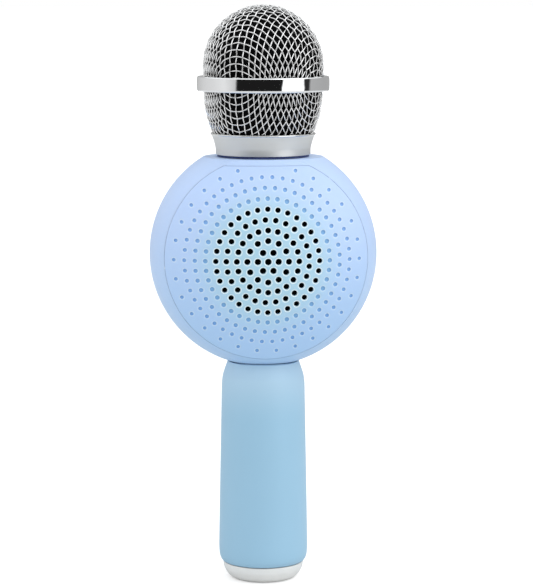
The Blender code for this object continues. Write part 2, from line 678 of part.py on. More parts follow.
def cables():
    """Each one ends square to the circuit board's inner side."""
    at_board = BOARD_LOW - GAP
    capsule_route = [(0, 0, 0.1977), (0, 0, 0.1880), (0, 0.002, 0.1780), (0, 0.008, 0.1660)]
    capsule_route += [(0, 0.0160, 0.1590), (0, at_board, 0.1580)]
    cable("capsule_cable", capsule_route, 0.0009, BLACK_PLASTIC)
    battery_route = [(0, 0, 0.0705), (0, 0, 0.0850), (0, 0, 0.1000), (0.003, 0.006, 0.1090)]
    battery_route += [(0.008, 0.0160, 0.1160), (0.009, at_board, 0.1165)]
    cable("battery_cable", battery_route, 0.0010, RED_LEAD)
    speaker_route = [(0.0, -0.0146, 0.1175), (0.002, -0.0060, 0.1140), (0.010, 0.006, 0.1180)]
    speaker_route += [(0.0175, 0.0160, 0.1280), (0.018, at_board, 0.1290)]
    cable("speaker_cable", speaker_route, 0.0009, BLACK_PLASTIC)


cables()
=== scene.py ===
# %% [markdown]
# # A toy karaoke microphone
# This lesson dresses a finished engineering model. The model already holds the real sizes and the
# joints: the wire head unscrews, the loudspeaker cone moves, and five keys press in at the back.
# Here each piece that shows gets its fine shape and its finish. We load the engineering model
# first, because every new piece has to land exactly where its plain twin stands.

# %% Load the engineering model
import json
import math

import bmesh
import bpy
from mathutils import Matrix, Vector, noise


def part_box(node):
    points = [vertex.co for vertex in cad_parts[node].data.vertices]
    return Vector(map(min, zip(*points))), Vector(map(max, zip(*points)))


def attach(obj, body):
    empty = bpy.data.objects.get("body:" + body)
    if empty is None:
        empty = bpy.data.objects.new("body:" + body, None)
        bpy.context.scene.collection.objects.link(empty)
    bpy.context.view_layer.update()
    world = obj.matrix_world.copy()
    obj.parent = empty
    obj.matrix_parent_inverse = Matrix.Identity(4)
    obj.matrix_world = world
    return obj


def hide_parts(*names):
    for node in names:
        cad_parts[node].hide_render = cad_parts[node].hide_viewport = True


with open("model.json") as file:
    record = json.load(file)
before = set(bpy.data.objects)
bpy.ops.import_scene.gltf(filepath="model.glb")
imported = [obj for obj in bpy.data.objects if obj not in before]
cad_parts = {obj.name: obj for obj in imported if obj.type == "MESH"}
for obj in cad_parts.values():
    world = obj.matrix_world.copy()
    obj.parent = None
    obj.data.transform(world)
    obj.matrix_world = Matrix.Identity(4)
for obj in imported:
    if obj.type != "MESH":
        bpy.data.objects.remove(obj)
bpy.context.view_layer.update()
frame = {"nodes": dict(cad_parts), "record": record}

# %% [markdown]
# ## Sizes that many pieces share
# All of the pieces are modelled in millimetres and made metres at the end, because a bevel of 0.3
# is easier to read than one of 0.0003. The ball is a lens: two shallow domes and a round band.

# %% Shared sizes
MM = 0.001
BALL_Z = 138.5  # height of the ball's centre
BALL_R, SEAM_R, SEAM_H, APEX_H = 47.5, 41.8, 21.0, 34.5
FLAT_UP, CHORD_UP = 40.4, 38.0  # the flat on top of the ball, and the covers' straight top edge
GAP = 0.15  # half of the hairline gap between two mouldings
SEAM_GAP = 0.05  # the same, where a cover drops into the ball
REBATE_FLOOR = 18.7  # how far the ledge under a cover lies from the ball's middle plane
HEAD_Z = 216.6  # where the wire dome turns from a cylinder into half a ball
DOME_R = (SEAM_R**2 + (APEX_H - SEAM_H) ** 2) / (2 * (APEX_H - SEAM_H))
BAND_ARC = ((BALL_R - SEAM_R) ** 2 + SEAM_H**2) / (2 * (BALL_R - SEAM_R))

to_metres = Matrix.Scale(MM, 4)
# In these two frames z points out of the ball and y points up.
front_frame = to_metres @ Matrix.Translation((0, 0, BALL_Z)) @ Matrix.Rotation(math.pi / 2, 4, "X")
half_turn = Matrix.Rotation(math.pi, 4, "Z")
rear_frame = half_turn @ front_frame


def dome_height(radius):
    """How far a cover stands out from the ball's middle plane, at this distance from its centre."""
    return APEX_H - DOME_R + math.sqrt(DOME_R**2 - radius**2)


def band_radius(height):
    """Radius of the ball's band, at this distance from its middle plane."""
    return BALL_R - BAND_ARC + math.sqrt(BAND_ARC**2 - height**2)


ball_low, ball_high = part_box("housing_front")
print("ball width in the model and here:", round((ball_high.x - ball_low.x) / MM, 2), 2 * BALL_R)

# %% [markdown]
# ## Finishes
# A moulded or metal surface is never one flat colour. Every finish below mixes its colour with a
# soft mottle and breaks up its gloss with a fine grain, both read from Object coordinates, so that
# the grain keeps its real size. One helper makes that base, and each finish adds its own detail.


# %% Small node helpers
def ranged(nodes, links, value, low, high, to_low=0.0, to_high=1.0, smooth=False):
    """Turn a socket's value between low and high into one between to_low and to_high."""
    span = nodes.new("ShaderNodeMapRange")
    span.interpolation_type = "SMOOTHSTEP" if smooth else "LINEAR"
    span.inputs["From Min"].default_value = low
    span.inputs["From Max"].default_value = high
    span.inputs["To Min"].default_value = to_low
    span.inputs["To Max"].default_value = to_high
    links.new(value, span.inputs["Value"])
    return span.outputs["Result"]


def bumpy(nodes, links, height, strength, depth_mm):
    """Raise the shader's surface by a socket's value."""
    bump = nodes.new("ShaderNodeBump")
    bump.inputs["Strength"].default_value = strength
    bump.inputs["Distance"].default_value = depth_mm * MM
    links.new(height, bump.inputs["Height"])
    links.new(bump.outputs["Normal"], nodes["Principled BSDF"].inputs["Normal"])


def maths(nodes, links, kind, first, second):
    """A Math node on two numbers or sockets."""
    made = nodes.new("ShaderNodeMath")
    made.operation = kind
    for socket, value in zip(made.inputs, (first, second)):
        if isinstance(value, float):
            socket.default_value = value
        else:
            links.new(value, socket)
    return made.outputs["Value"]


def split_up(nodes, links, place):
    """The X, Y and Z sockets of a finish's Object coordinates."""
    apart = nodes.new("ShaderNodeSeparateXYZ")
    links.new(place.outputs["Object"], apart.inputs["Vector"])
    return apart.outputs


# %% A helper for every finish
def new_finish(name, colour, roughness, metallic=0.0, mottle=0.06, mottle_mm=14.0, grain=None):
    """A Principled finish with mottled colour. grain is (size in mm, depth in mm, gloss change)."""
    finish = bpy.data.materials.new(name)
    finish.use_nodes = True
    nodes, links = finish.node_tree.nodes, finish.node_tree.links
    shader = nodes["Principled BSDF"]
    shader.inputs["Metallic"].default_value = metallic
    shader.inputs["Roughness"].default_value = roughness
    place = nodes.new("ShaderNodeTexCoord")

    cloud = nodes.new("ShaderNodeTexNoise")
    cloud.inputs["Scale"].default_value = 1000 / mottle_mm
    cloud.inputs["Detail"].default_value = 3.0
    links.new(place.outputs["Object"], cloud.inputs["Vector"])
    tint = nodes.new("ShaderNodeMix")
    tint.data_type = "RGBA"
    tint.inputs["A"].default_value = (*[c * (1 - mottle) for c in colour], 1)
    tint.inputs["B"].default_value = (*[min(1, c * (1 + mottle)) for c in colour], 1)
    links.new(cloud.outputs["Fac"], tint.inputs["Factor"])
    links.new(tint.outputs["Result"], shader.inputs["Base Color"])

    if grain:
        size, depth, gloss = grain
        fine = nodes.new("ShaderNodeTexNoise")
        fine.inputs["Scale"].default_value = 1000 / size
        fine.inputs["Detail"].default_value = 2.0
        links.new(place.outputs["Object"], fine.inputs["Vector"])
        bumpy(nodes, links, fine.outputs["Fac"], 0.5, depth)
        least, most = max(0.02, roughness - gloss), min(1.0, roughness + gloss)
        spread = ranged(nodes, links, fine.outputs["Fac"], 0.0, 1.0, least, most)
        links.new(spread, shader.inputs["Roughness"])
    return finish


def parts_of(finish):
    """The nodes, links, Principled shader and Object coordinates of a finish made above."""
    nodes = finish.node_tree.nodes
    place = next(n for n in nodes if n.type == "TEX_COORD")
    return nodes, finish.node_tree.links, nodes["Principled BSDF"], place


def colour_mix(nodes, links, factor, under, colour):
    """Lay a colour over the colour that comes from a socket, by a factor socket."""
    mix = nodes.new("ShaderNodeMix")
    mix.data_type = "RGBA"
    links.new(factor, mix.inputs["Factor"])
    links.new(under, mix.inputs["A"])
    mix.inputs["B"].default_value = (*colour, 1)
    return mix.outputs["Result"]


# %% [markdown]
# ### The ball's plastic
# The ball is moulded in a pale lavender blue, and painted shade makes it a little deeper towards the
# bottom, where less light falls. Round the loudspeaker, on the front only, it leans to a soft teal,
# by the distance to that axis.
# Two attributes are painted while the covers are modelled: one is painted shade that deepens the
# colour inside the blind dimples, and "rim" is a painted highlight that lightens the holes' edges.

# %% Ball plastic
LAVENDER, PAINTED_SHADE_BLUE, TEAL = (0.50, 0.655, 0.95), (0.40, 0.62, 0.91), (0.42, 0.665, 0.78)
TEAL_IN, TEAL_OUT, TEAL_MOST = 17, 34, 0.85  # full inside the first radius, gone at the second
ball_plastic = new_finish(
    "ball_plastic", LAVENDER, 0.42, mottle=0.03, mottle_mm=30, grain=(0.35, 0.012, 0.06)
)
nodes, links, shader, place = parts_of(ball_plastic)
base = shader.inputs["Base Color"].links[0].from_socket
along = split_up(nodes, links, place)
# Painted shade: the colour turns deeper towards the bottom, where less light falls.
shade_from, shade_to = (BALL_Z + 28) * MM, (BALL_Z - BALL_R) * MM
lower_painted_shade = ranged(nodes, links, along["Z"], shade_from, shade_to, smooth=True)
shaded = colour_mix(nodes, links, lower_painted_shade, base, PAINTED_SHADE_BLUE)
centred = nodes.new("ShaderNodeMapping")
centred.inputs["Location"].default_value = (0, 0, -BALL_Z * MM)
links.new(place.outputs["Object"], centred.inputs["Vector"])
flat = nodes.new("ShaderNodeVectorMath")
flat.operation = "MULTIPLY"
flat.inputs[1].default_value = (1, 0, 1)
links.new(centred.outputs["Vector"], flat.inputs[0])
distance = nodes.new("ShaderNodeVectorMath")
distance.operation = "LENGTH"
links.new(flat.outputs["Vector"], distance.inputs[0])
fade = ranged(
    nodes, links, distance.outputs["Value"], TEAL_IN * MM, TEAL_OUT * MM, TEAL_MOST, 0.0, smooth=True
)
front_side = ranged(nodes, links, along["Y"], -5 * MM, -15 * MM)
tinted = colour_mix(nodes, links, maths(nodes, links, "MULTIPLY", fade, front_side), shaded, TEAL)
# Painted shade: an attribute multiplies a darker blue into the blind dimples.
pit_shade = nodes.new("ShaderNodeAttribute")
pit_shade.attribute_name = "pit_shade"
deep = nodes.new("ShaderNodeMix")
deep.data_type = "RGBA"
deep.blend_type = "MULTIPLY"
deep.inputs["B"].default_value = (0.46, 0.66, 0.84, 1)
links.new(pit_shade.outputs["Fac"], deep.inputs["Factor"])
links.new(tinted, deep.inputs["A"])
# Painted highlight: the rim attribute lightens the edges of the holes and dimples.
rim = nodes.new("ShaderNodeAttribute")
rim.attribute_name = "rim"
rim_highlighted = colour_mix(nodes, links, rim.outputs["Fac"], deep.outputs["Result"], (0.82, 0.94, 0.98))
links.new(rim_highlighted, shader.inputs["Base Color"])
shader.inputs["Sheen Weight"].default_value = 0.12
shader.inputs["Subsurface Weight"].default_value = 0.08
shader.inputs["Subsurface Radius"].default_value = (0.6, 0.8, 1.0)
shader.inputs["Subsurface Scale"].default_value = 0.0015
print("ball plastic has", len(nodes), "nodes")

# %% [markdown]
# ### Handle plastic, keys and small mouldings
# The handle is a separate moulding in a plainer sky blue with a soft-touch surface, so it is
# rougher than the ball and has a faint sheen. Painted light makes it paler towards its top, near
# the ball. The keys at the back are off-white.

# %% Handle plastic and other plastics
handle_plastic = new_finish(
    "handle_plastic", (0.323, 0.551, 0.725), 0.5, mottle=0.03, mottle_mm=40, grain=(0.25, 0.01, 0.07)
)
nodes, links, shader, place = parts_of(handle_plastic)
shader.inputs["Sheen Weight"].default_value = 0.08
base = shader.inputs["Base Color"].links[0].from_socket
along = split_up(nodes, links, place)
# Painted light: the handle turns paler towards its top, near the ball.
top_light_mask = ranged(nodes, links, along["Z"], 68 * MM, 92 * MM, smooth=True)
painted_top_light = colour_mix(nodes, links, top_light_mask, base, (0.445, 0.645, 0.805))
links.new(painted_top_light, shader.inputs["Base Color"])
key_plastic = new_finish(
    "key_plastic", (0.83, 0.86, 0.91), 0.35, mottle=0.02, grain=(0.3, 0.01, 0.05)
)
mark_blue = new_finish("mark_blue", (0.13, 0.27, 0.55), 0.5, mottle=0.05, grain=(0.2, 0.01, 0.05))
black_plastic = new_finish("black_plastic", (0.018, 0.018, 0.02), 0.4, grain=(0.3, 0.015, 0.08))
clear_lens = new_finish("clear_lens", (0.85, 0.9, 0.95), 0.12, mottle=0.03, grain=(0.4, 0.01, 0.04))
clear_lens.node_tree.nodes["Principled BSDF"].inputs["Transmission Weight"].default_value = 0.5
# The rubber is dark, and its navy tint is painted shade, the colour of the shadow line under the collar.
dark_rubber_navy_shade = new_finish("dark_rubber_navy_shade", (0.035, 0.05, 0.16), 0.75, mottle=0.15, grain=(0.3, 0.03, 0.1))

# %% [markdown]
# ### Metals
# Polished chrome shows its surroundings, so it needs almost no colour of its own, only faint
# polishing marks. The collar is satin: it was brushed round and round before plating, which a
# noise stretched along the turning direction imitates. Its top edge is polished again, so the
# roughness changes with height. The end cap is painted a pearly silver with fine flakes.

# %% Metals
polished_chrome = new_finish(
    "polished_chrome", (0.88, 0.89, 0.90), 0.05, 1.0, mottle=0.02, grain=(1.2, 0.004, 0.02)
)
wire_chrome = new_finish(
    "wire_chrome", (0.97, 0.965, 0.96), 0.22, 1.0, mottle=0.08, mottle_mm=3, grain=(0.4, 0.006, 0.05)
)
plain_steel = new_finish("plain_steel", (0.56, 0.57, 0.58), 0.32, 1.0, grain=(0.5, 0.01, 0.08))
LIP_LOW, LIP_HIGH = 187.7, 188.0  # the polish starts and is complete at these heights
SATIN, POLISHED = 0.5, 0.07  # roughness of the collar's flare and of its lip
satin_chrome = new_finish("satin_chrome", (0.75, 0.76, 0.755), SATIN, 1.0, mottle=0.03)
nodes, links, shader, place = parts_of(satin_chrome)
along = split_up(nodes, links, place)
lines = nodes.new("ShaderNodeTexNoise")
lines.noise_dimensions = "1D"
lines.inputs["Scale"].default_value = 9000
lines.inputs["Detail"].default_value = 3.0
links.new(along["Z"], lines.inputs["W"])
bumpy(nodes, links, lines.outputs["Fac"], 0.25, 0.004)
polish = ranged(nodes, links, along["Z"], LIP_LOW * MM, LIP_HIGH * MM, SATIN, POLISHED)
links.new(polish, shader.inputs["Roughness"])

pearl_silver = new_finish("pearl_silver", (0.90, 0.90, 0.88), 0.34, 0.45, mottle=0.04, mottle_mm=5)
nodes, links, shader, place = parts_of(pearl_silver)
flakes = nodes.new("ShaderNodeTexVoronoi")
flakes.inputs["Scale"].default_value = 4500
links.new(place.outputs["Object"], flakes.inputs["Vector"])
glint = ranged(nodes, links, flakes.outputs["Distance"], 0.0, 1.0, 0.26, 0.44)
links.new(glint, shader.inputs["Roughness"])
shader.inputs["Coat Weight"].default_value = 0.3
shader.inputs["Coat Roughness"].default_value = 0.15
print("metals:", polished_chrome.name, wire_chrome.name, satin_chrome.name, pearl_silver.name)

# %% [markdown]
# ### Foam
# Open-cell foam is a web of tiny bubbles. A Voronoi pattern gives the bubbles, and its distance
# drives a deep bump, so the foam stays black and matt but not smooth.

# %% Foam
black_foam = new_finish("black_foam", (0.0035, 0.0035, 0.004), 0.97, mottle=0.3, mottle_mm=2)
nodes, links, shader, place = parts_of(black_foam)
bubbles = nodes.new("ShaderNodeTexVoronoi")
bubbles.inputs["Scale"].default_value = 1600
links.new(place.outputs["Object"], bubbles.inputs["Vector"])
bumpy(nodes, links, bubbles.outputs["Distance"], 0.9, 0.3)
shader.inputs["Specular IOR Level"].default_value = 0.05

# %% [markdown]
# ### Finishes inside the housing
# The working parts are closed in, but the model can be opened, so they get true finishes as well.
# The engineering model says which finish each of its nodes has, and this table answers it.

# %% Finishes for the inner parts
inner_finishes = {
    "chrome": polished_chrome,
    "satin_chrome": satin_chrome,
    "black_foam": black_foam,
    "rubber": dark_rubber_navy_shade,
    "ball_plastic": ball_plastic,
    "handle_plastic": handle_plastic,
    "white_plastic": key_plastic,
    "black_plastic": black_plastic,
    "steel": plain_steel,
    "clear_plastic": clear_lens,
    "ferrite": new_finish("ferrite", (0.05, 0.05, 0.055), 0.65, grain=(0.3, 0.03, 0.1)),
    "cone_paper": new_finish(
        "cone_paper", (0.045, 0.045, 0.05), 0.9, mottle=0.25, grain=(0.5, 0.08, 0.05)
    ),
    "copper": new_finish("copper", (0.75, 0.33, 0.16), 0.3, 1.0, grain=(0.2, 0.02, 0.05)),
    "board_green": new_finish(
        "board_green", (0.015, 0.16, 0.06), 0.35, mottle=0.2, grain=(0.8, 0.03, 0.1)
    ),
    "cell_wrap": new_finish(
        "cell_wrap", (0.04, 0.16, 0.42), 0.3, mottle=0.05, grain=(1.0, 0.02, 0.05)
    ),
    "red_lead": new_finish("red_lead", (0.5, 0.02, 0.02), 0.45, grain=(0.4, 0.01, 0.05)),
}
slot_of = {row["node"]: row["material_slot"] for row in frame["record"]["subparts"]}
for name, node in frame["nodes"].items():
    node.data.materials.clear()
    node.data.materials.append(inner_finishes[slot_of[name]])
print(len(frame["nodes"]), "nodes share", len(inner_finishes), "finishes")

# %% [markdown]
# ## Turning a piece
# Most of this microphone is turned or moulded round, so its pieces start as a profile: a few
# points of radius and height. The spin operator sweeps the profile through a full turn. A full
# spin needs use_merge, or its first and last edges stay apart, and doubled points at the axis are
# merged so that the pole is closed. Bevels come after, on the edges that the real piece has
# rounded. flowing() puts extra points between given ones, for a curve that was drawn.


# %% Helpers for turned pieces
def flowing(points, extra=6):
    """Points on a smooth curve through the given (radius, height) points."""
    points = [Vector(p) for p in points]
    found = []
    for i in range(len(points) - 1):
        before, after = points[max(i - 1, 0)], points[min(i + 2, len(points) - 1)]
        start, end = points[i], points[i + 1]
        for k in range(extra):
            t = k / extra
            found.append(
                start * (2 * t**3 - 3 * t**2 + 1)
                + end * (3 * t**2 - 2 * t**3)
                + (end - before) * 0.5 * (t**3 - 2 * t**2 + t)
                + (after - start) * 0.5 * (t**3 - t**2)
            )
    return [tuple(p) for p in found] + [tuple(points[-1])]


def turned(profile, steps=144, closed=False):
    """A bmesh in millimetres, made by spinning (radius, height) points about Z."""
    bm = bmesh.new()
    verts = [bm.verts.new((r, 0, h)) for r, h in profile]
    edges = [bm.edges.new(pair) for pair in zip(verts, verts[1:])]
    if closed:
        edges.append(bm.edges.new((verts[-1], verts[0])))
    bmesh.ops.spin(
        bm, geom=verts + edges, axis=(0, 0, 1), cent=(0, 0, 0), dvec=(0, 0, 0),
        angle=2 * math.pi, steps=steps, use_merge=True,
    )
    bmesh.ops.remove_doubles(bm, verts=bm.verts, dist=0.0005)
    return bm


def pulled(bm, edges, vec=(0, 0, 0)):
    """Extrude open edges by a vector. It gives back the new vertices and the new open edges."""
    made = bmesh.ops.extrude_edge_only(bm, edges=edges)["geom"]
    verts = [g for g in made if isinstance(g, bmesh.types.BMVert)]
    bmesh.ops.translate(bm, verts=verts, vec=vec)
    return verts, [g for g in made if isinstance(g, bmesh.types.BMEdge) and g.is_boundary]


def bevel(bm, edges, width, segments=3):
    """Round these edges."""
    bmesh.ops.bevel(
        bm, geom=list(edges), offset=width, segments=segments, profile=0.5,
        affect="EDGES", material=-1, clamp_overlap=True,
    )


def rings_at(bm, corners, near=0.02):
    """The round edges of a turned piece that lie at these (radius, height) corners."""
    def on(vert, r, h):
        return abs(math.hypot(vert.co.x, vert.co.y) - r) < near and abs(vert.co.z - h) < near

    return [e for e in bm.edges if any(all(on(v, r, h) for v in e.verts) for r, h in corners)]


def mesh_from(bm, name):
    """A mesh that holds what the bmesh held."""
    mesh = bpy.data.meshes.new(name)
    bm.to_mesh(mesh)
    bm.free()
    return mesh


def placed(name, data):
    """A new object in the scene."""
    made = bpy.data.objects.new(name, data)
    bpy.context.scene.collection.objects.link(made)
    return made


def finished(name, bm, finish, body, stands_for=(), frame_matrix=to_metres, even=True):
    """Make the bmesh an object in metres, with its finish, on its body."""
    bmesh.ops.transform(bm, matrix=frame_matrix, verts=bm.verts)
    bmesh.ops.recalc_face_normals(bm, faces=bm.faces)
    mesh = mesh_from(bm, name)
    mesh.shade_smooth()
    mesh.set_sharp_from_angle(angle=math.radians(50))
    mesh.materials.append(finish)
    piece = placed(name, mesh)
    if even:  # big faces keep their own direction, and only the bevels bend
        weighted = piece.modifiers.new("Even shading", "WEIGHTED_NORMAL")
        weighted.keep_sharp = True
    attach(piece, body)
    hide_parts(*stands_for)
    print(f"{name}: {len(mesh.polygons)} faces, {[round(d / MM, 1) for d in piece.dimensions]} mm")
    return piece


# %% [markdown]
# ## End cap and handle
# The end cap is a shallow cup with a flat foot. The handle tapers gently upwards, turns in at a
# soft shoulder and stops against the ball, so its top ring is lowered on to the ball's own curve
# with a hairline of air left between. At the front and the back the seat's edge is chamfered, so
# that the ball's round outline shows in full from the front.

# %% End cap
cap_profile = [(0, 0), (13.0, 0)] + flowing(
    [(13.0, 0), (14.6, 1.1), (15.7, 2.6), (16.6, 4.4), (17.05, 6.6)], 5
)[1:]
cap_profile += [(17.0, 7.0), (14.9, 7.0), (14.9, 13.0), (13.3, 13.0), (13.3, 3.0), (0, 3.0)]
cap = turned(cap_profile)
bevel(cap, rings_at(cap, [(13.0, 0)]), 0.5)
finished("end_cap_skin", cap, pearl_silver, "main_body", ["end_cap"])

# %% Handle
SEAT_R, SEAT_Z = 15.0, 93.0  # the seat's outer edge, before it is lowered on to the ball
EDGE_DROP = 1.05  # how much lower that edge is at the front and the back
side = [(17.25, 7.35), (17.9, 8.2), (18.45, 9.8), (18.7, 12.8), (18.68, 17), (18.45, 31)]
side += [(18.0, 55), (17.6, 76), (17.45, 83), (17.1, 86.4), (16.4, 88.9), (15.4, 91.8)]
side = flowing(side + [(SEAT_R, SEAT_Z)], 5)
grip = turned([(15.3, 7.3)] + side + [(14.3, SEAT_Z), (12.3, SEAT_Z), (12.3, 87.0)])
bevel(grip, rings_at(grip, [(17.25, 7.35)]), 0.2)
for vert in grip.verts:
    if abs(vert.co.z - SEAT_Z) < 0.01:
        across = math.sqrt(band_radius(vert.co.y) ** 2 - vert.co.x**2)
        on_edge = vert.co.xy.length > SEAT_R - 0.1
        drop = EDGE_DROP * (vert.co.y / SEAT_R) ** 2 if on_edge else 0.0
        vert.co.z = BALL_Z - across - 2 * GAP - drop
finished("handle_grip", grip, handle_plastic, "main_body", ["handle_tube"])

# %% [markdown]
# ## The ball's two halves
# Each half is a band with a rebate, a stepped edge that its cover drops into. The band is turned
# first. A bisect plane then slices the flat on top, where the neck stands, and a second one cuts
# the rebate's straight top edge. Bevels round the rim, the flat's outline and the parting line.
# The flat is filled with the neck's half-round hole left open.


# %% One half of the ball
NECK_HOLE_R = 16.8


def ball_half(name, node, frame_matrix, lap):
    """lap is the profile of the lapped joint that keeps light from passing between the halves."""
    rim_r = SEAM_R + SEAM_GAP
    rim_h = math.sqrt(BAND_ARC**2 - (rim_r - BALL_R + BAND_ARC) ** 2)
    profile = [(r, dome_height(r)) for r in (37.0, 38.5, 40.0, 41.0, SEAM_R)]
    profile += [(rim_r, rim_h)]
    rows = 18
    for i in range(1, rows + 1):
        height = rim_h + (0.5 - rim_h) * i / rows
        profile.append((band_radius(height), height))
    profile += [(BALL_R - 0.03, 0.25), (BALL_R - 0.14, 0.1), (BALL_R - 0.35, SEAM_GAP)] + lap
    bm = turned(profile, 240)

    cut = {"plane_no": (0, 1, 0), "dist": 1e-4}
    everything = bm.verts[:] + bm.edges[:] + bm.faces[:]
    bmesh.ops.bisect_plane(bm, geom=everything, plane_co=(0, FLAT_UP, 0), clear_outer=True, **cut)

    def inner(face):
        return all(math.hypot(v.co.x, v.co.y) < rim_r + 0.01 and v.co.z > 15 for v in face.verts)

    faces = [f for f in bm.faces if inner(f)]
    edges = {e for f in faces for e in f.edges}
    verts = {v for f in faces for v in f.verts}
    chord = CHORD_UP + 2 * SEAM_GAP
    geom = [*faces, *edges, *verts]
    bmesh.ops.bisect_plane(bm, geom=geom, plane_co=(0, chord, 0), **cut)
    gone = [f for f in bm.faces if inner(f) and f.calc_center_median().y < chord]
    bmesh.ops.delete(bm, geom=gone, context="FACES")

    # the rebate's wall
    rim = [e for e in bm.edges if e.is_boundary and all(v.co.z > 15 for v in e.verts)]
    rim = [e for e in rim if any(v.co.y < FLAT_UP - 0.01 for v in e.verts)]
    for vert in pulled(bm, rim)[0]:
        vert.co.z = REBATE_FLOOR
    bevel(bm, rim, 0.3)

    # the flat on top, round the neck
    def on_top(vert):
        in_lap = vert.co.z < SEAM_GAP + 0.01 and vert.co.xy.length < BALL_R - 0.36
        return vert.co.y > FLAT_UP - 0.01 and not in_lap

    top = [e for e in bm.edges if e.is_boundary and all(on_top(v) for v in e.verts)]
    outer = [v for e in top for v in e.verts if abs(v.co.z - SEAM_GAP) < 0.01]
    left, right = min(outer, key=lambda v: v.co.x), max(outer, key=lambda v: v.co.x)
    start = bm.verts.new((math.sqrt(NECK_HOLE_R**2 - SEAM_GAP**2), FLAT_UP, SEAM_GAP))
    sweep = math.pi - 2 * math.asin(SEAM_GAP / NECK_HOLE_R)
    arc = bmesh.ops.spin(
        bm, geom=[start], axis=(0, -1, 0), cent=(0, FLAT_UP, 0), dvec=(0, 0, 0),
        angle=sweep, steps=48,
    )
    end = next(g for g in arc["geom_last"] if isinstance(g, bmesh.types.BMVert))
    hole = [e for e in bm.edges if e.is_wire]
    top += hole + [bm.edges.new((right, start)), bm.edges.new((end, left))]
    flat = bmesh.ops.triangle_fill(bm, edges=top, normal=(0, 1, 0), use_beauty=True)["geom"]
    flat = {f for f in flat if isinstance(f, bmesh.types.BMFace)}
    pulled(bm, hole, (0, -2.1, 0))
    outline = [
        e for f in flat for e in f.edges
        if len(e.link_faces) == 2 and e not in hole
        and sum(g in flat for g in e.link_faces) == 1
    ]
    bevel(bm, set(outline), 0.35)
    return finished(name, bm, ball_plastic, "main_body", [node], frame_matrix)


tongue_lap = [(46.5, SEAM_GAP), (46.5, -1.2), (45.8, -1.2)]
groove_lap = [(46.7, SEAM_GAP), (46.7, 1.4)]
ball_half("ball_half_front", "housing_front", front_frame, tongue_lap)
ball_half("ball_half_rear", "housing_rear", rear_frame, groove_lap)

# %% [markdown]
# ## Covers with holes
# Cutting hundreds of holes out of a dome with Booleans leaves ragged faces. It is cleaner to work
# flat. Circles are laid out on a plane, the space between them is filled with triangles, and each
# circle's edge is extruded down into a hole or a dimple. Only then is every point raised to the
# dome's height. The skin between the holes is given the dome's exact directions as its normals,
# so that it shades as one smooth surface.


# %% Helpers for the covers
def circle(bm, x, y, radius, sides):
    """The edges of a new circle on the plane."""
    at = Matrix.Translation((x, y, 0))
    made = bmesh.ops.create_circle(bm, cap_ends=False, radius=radius, segments=sides, matrix=at)
    return list({e for v in made["verts"] for e in v.link_edges})


def sides_for(radius, spacing=1.6):
    """How many sides a circle needs for sides about this long."""
    return max(16, 4 * round(math.tau * radius / spacing / 4))


def cover_outline(bm):
    """The cover's edge: a circle with a straight top."""
    edges = circle(bm, 0, 0, SEAM_R - SEAM_GAP, 220)
    verts = {v for e in edges for v in e.verts}
    cut = bmesh.ops.bisect_plane(
        bm, geom=[*edges, *verts], plane_co=(0, CHORD_UP, 0), plane_no=(0, 1, 0),
        dist=1e-4, clear_outer=True,
    )
    ends = [g for g in cut["geom_cut"] if isinstance(g, bmesh.types.BMVert)]
    straight = bm.edges.new(ends)
    edges = [e for e in {*edges} if e.is_valid]
    edges = list({e for v in ends for e in v.link_edges} | {*edges} - {straight})
    parts = bmesh.ops.subdivide_edges(bm, edges=[straight], cuts=19)["geom_inner"]
    chord = {e for v in parts if isinstance(v, bmesh.types.BMVert) for e in v.link_edges}
    return list({e for e in edges if e.is_valid} | chord)


def fill_between(bm, *loops):
    """Fill the space between closed loops with triangles."""
    edges = [e for loop in loops for e in loop]
    bmesh.ops.triangle_fill(bm, edges=edges, normal=(0, 0, 1), use_beauty=True)


def sink(bm, edges, centre, radius, steps, close=False):
    """Extrude a circle's edge downwards. Each step is (its new radius, how deep it lies)."""
    depth = 0.0
    for new_radius, new_depth in steps:
        verts, edges = pulled(bm, edges, (0, 0, depth - new_depth))
        ratio = new_radius / radius
        about = Matrix.Translation((-centre[0], -centre[1], 0))
        bmesh.ops.scale(bm, verts=verts, vec=(ratio, ratio, 1), space=about)
        radius, depth = new_radius, new_depth
    if close:
        bmesh.ops.holes_fill(bm, edges=edges, sides=len(edges))


def domed(name, node, bm, outline, pits, rims, frame_matrix):
    """Give a flat cover its edge, raise it into a dome, and finish it."""
    pulled(bm, outline, (0, 0, -2.0))
    bevel(bm, outline, 0.3)
    pit_shade_layer = bm.verts.layers.float.new("pit_shade")
    rim_highlight_layer = bm.verts.layers.float.new("rim")
    skin_layer = bm.faces.layers.int.new("skin")
    for face in bm.faces:
        face[skin_layer] = all(abs(v.co.z) < 1e-5 for v in face.verts)
    for vert in bm.verts:
        at = vert.co.xy
        # Painted shade inside the dimples.
        if vert.co.z < -0.05 and any((at - p).length < r + 0.02 for p, r in pits):
            vert[pit_shade_layer] = min(1.0, -vert.co.z / 0.35)
        # Painted highlight round the edges of the holes and dimples.
        if -0.25 < vert.co.z < -0.01:
            near = [light for p, r, light in rims if 0 < (at - p).length - r < 0.45]
            vert[rim_highlight_layer] = max(near, default=0)
        vert.co.z += dome_height(at.length)
    piece = finished(
        name, bm, ball_plastic, "main_body", [node], frame_matrix, even=False
    )
    mesh = piece.data
    centre = frame_matrix @ Vector((0, 0, APEX_H - DOME_R))
    normals = [Vector(c.vector) for c in mesh.corner_normals]
    skin = mesh.attributes["skin"].data
    for face in mesh.polygons:
        if skin[face.index].value:
            for corner in face.loop_indices:
                point = mesh.vertices[mesh.loops[corner].vertex_index].co
                normals[corner] = (point - centre).normalized()
    mesh.normals_split_custom_set(normals)
    mesh.attributes.remove(mesh.attributes["skin"])
    return piece


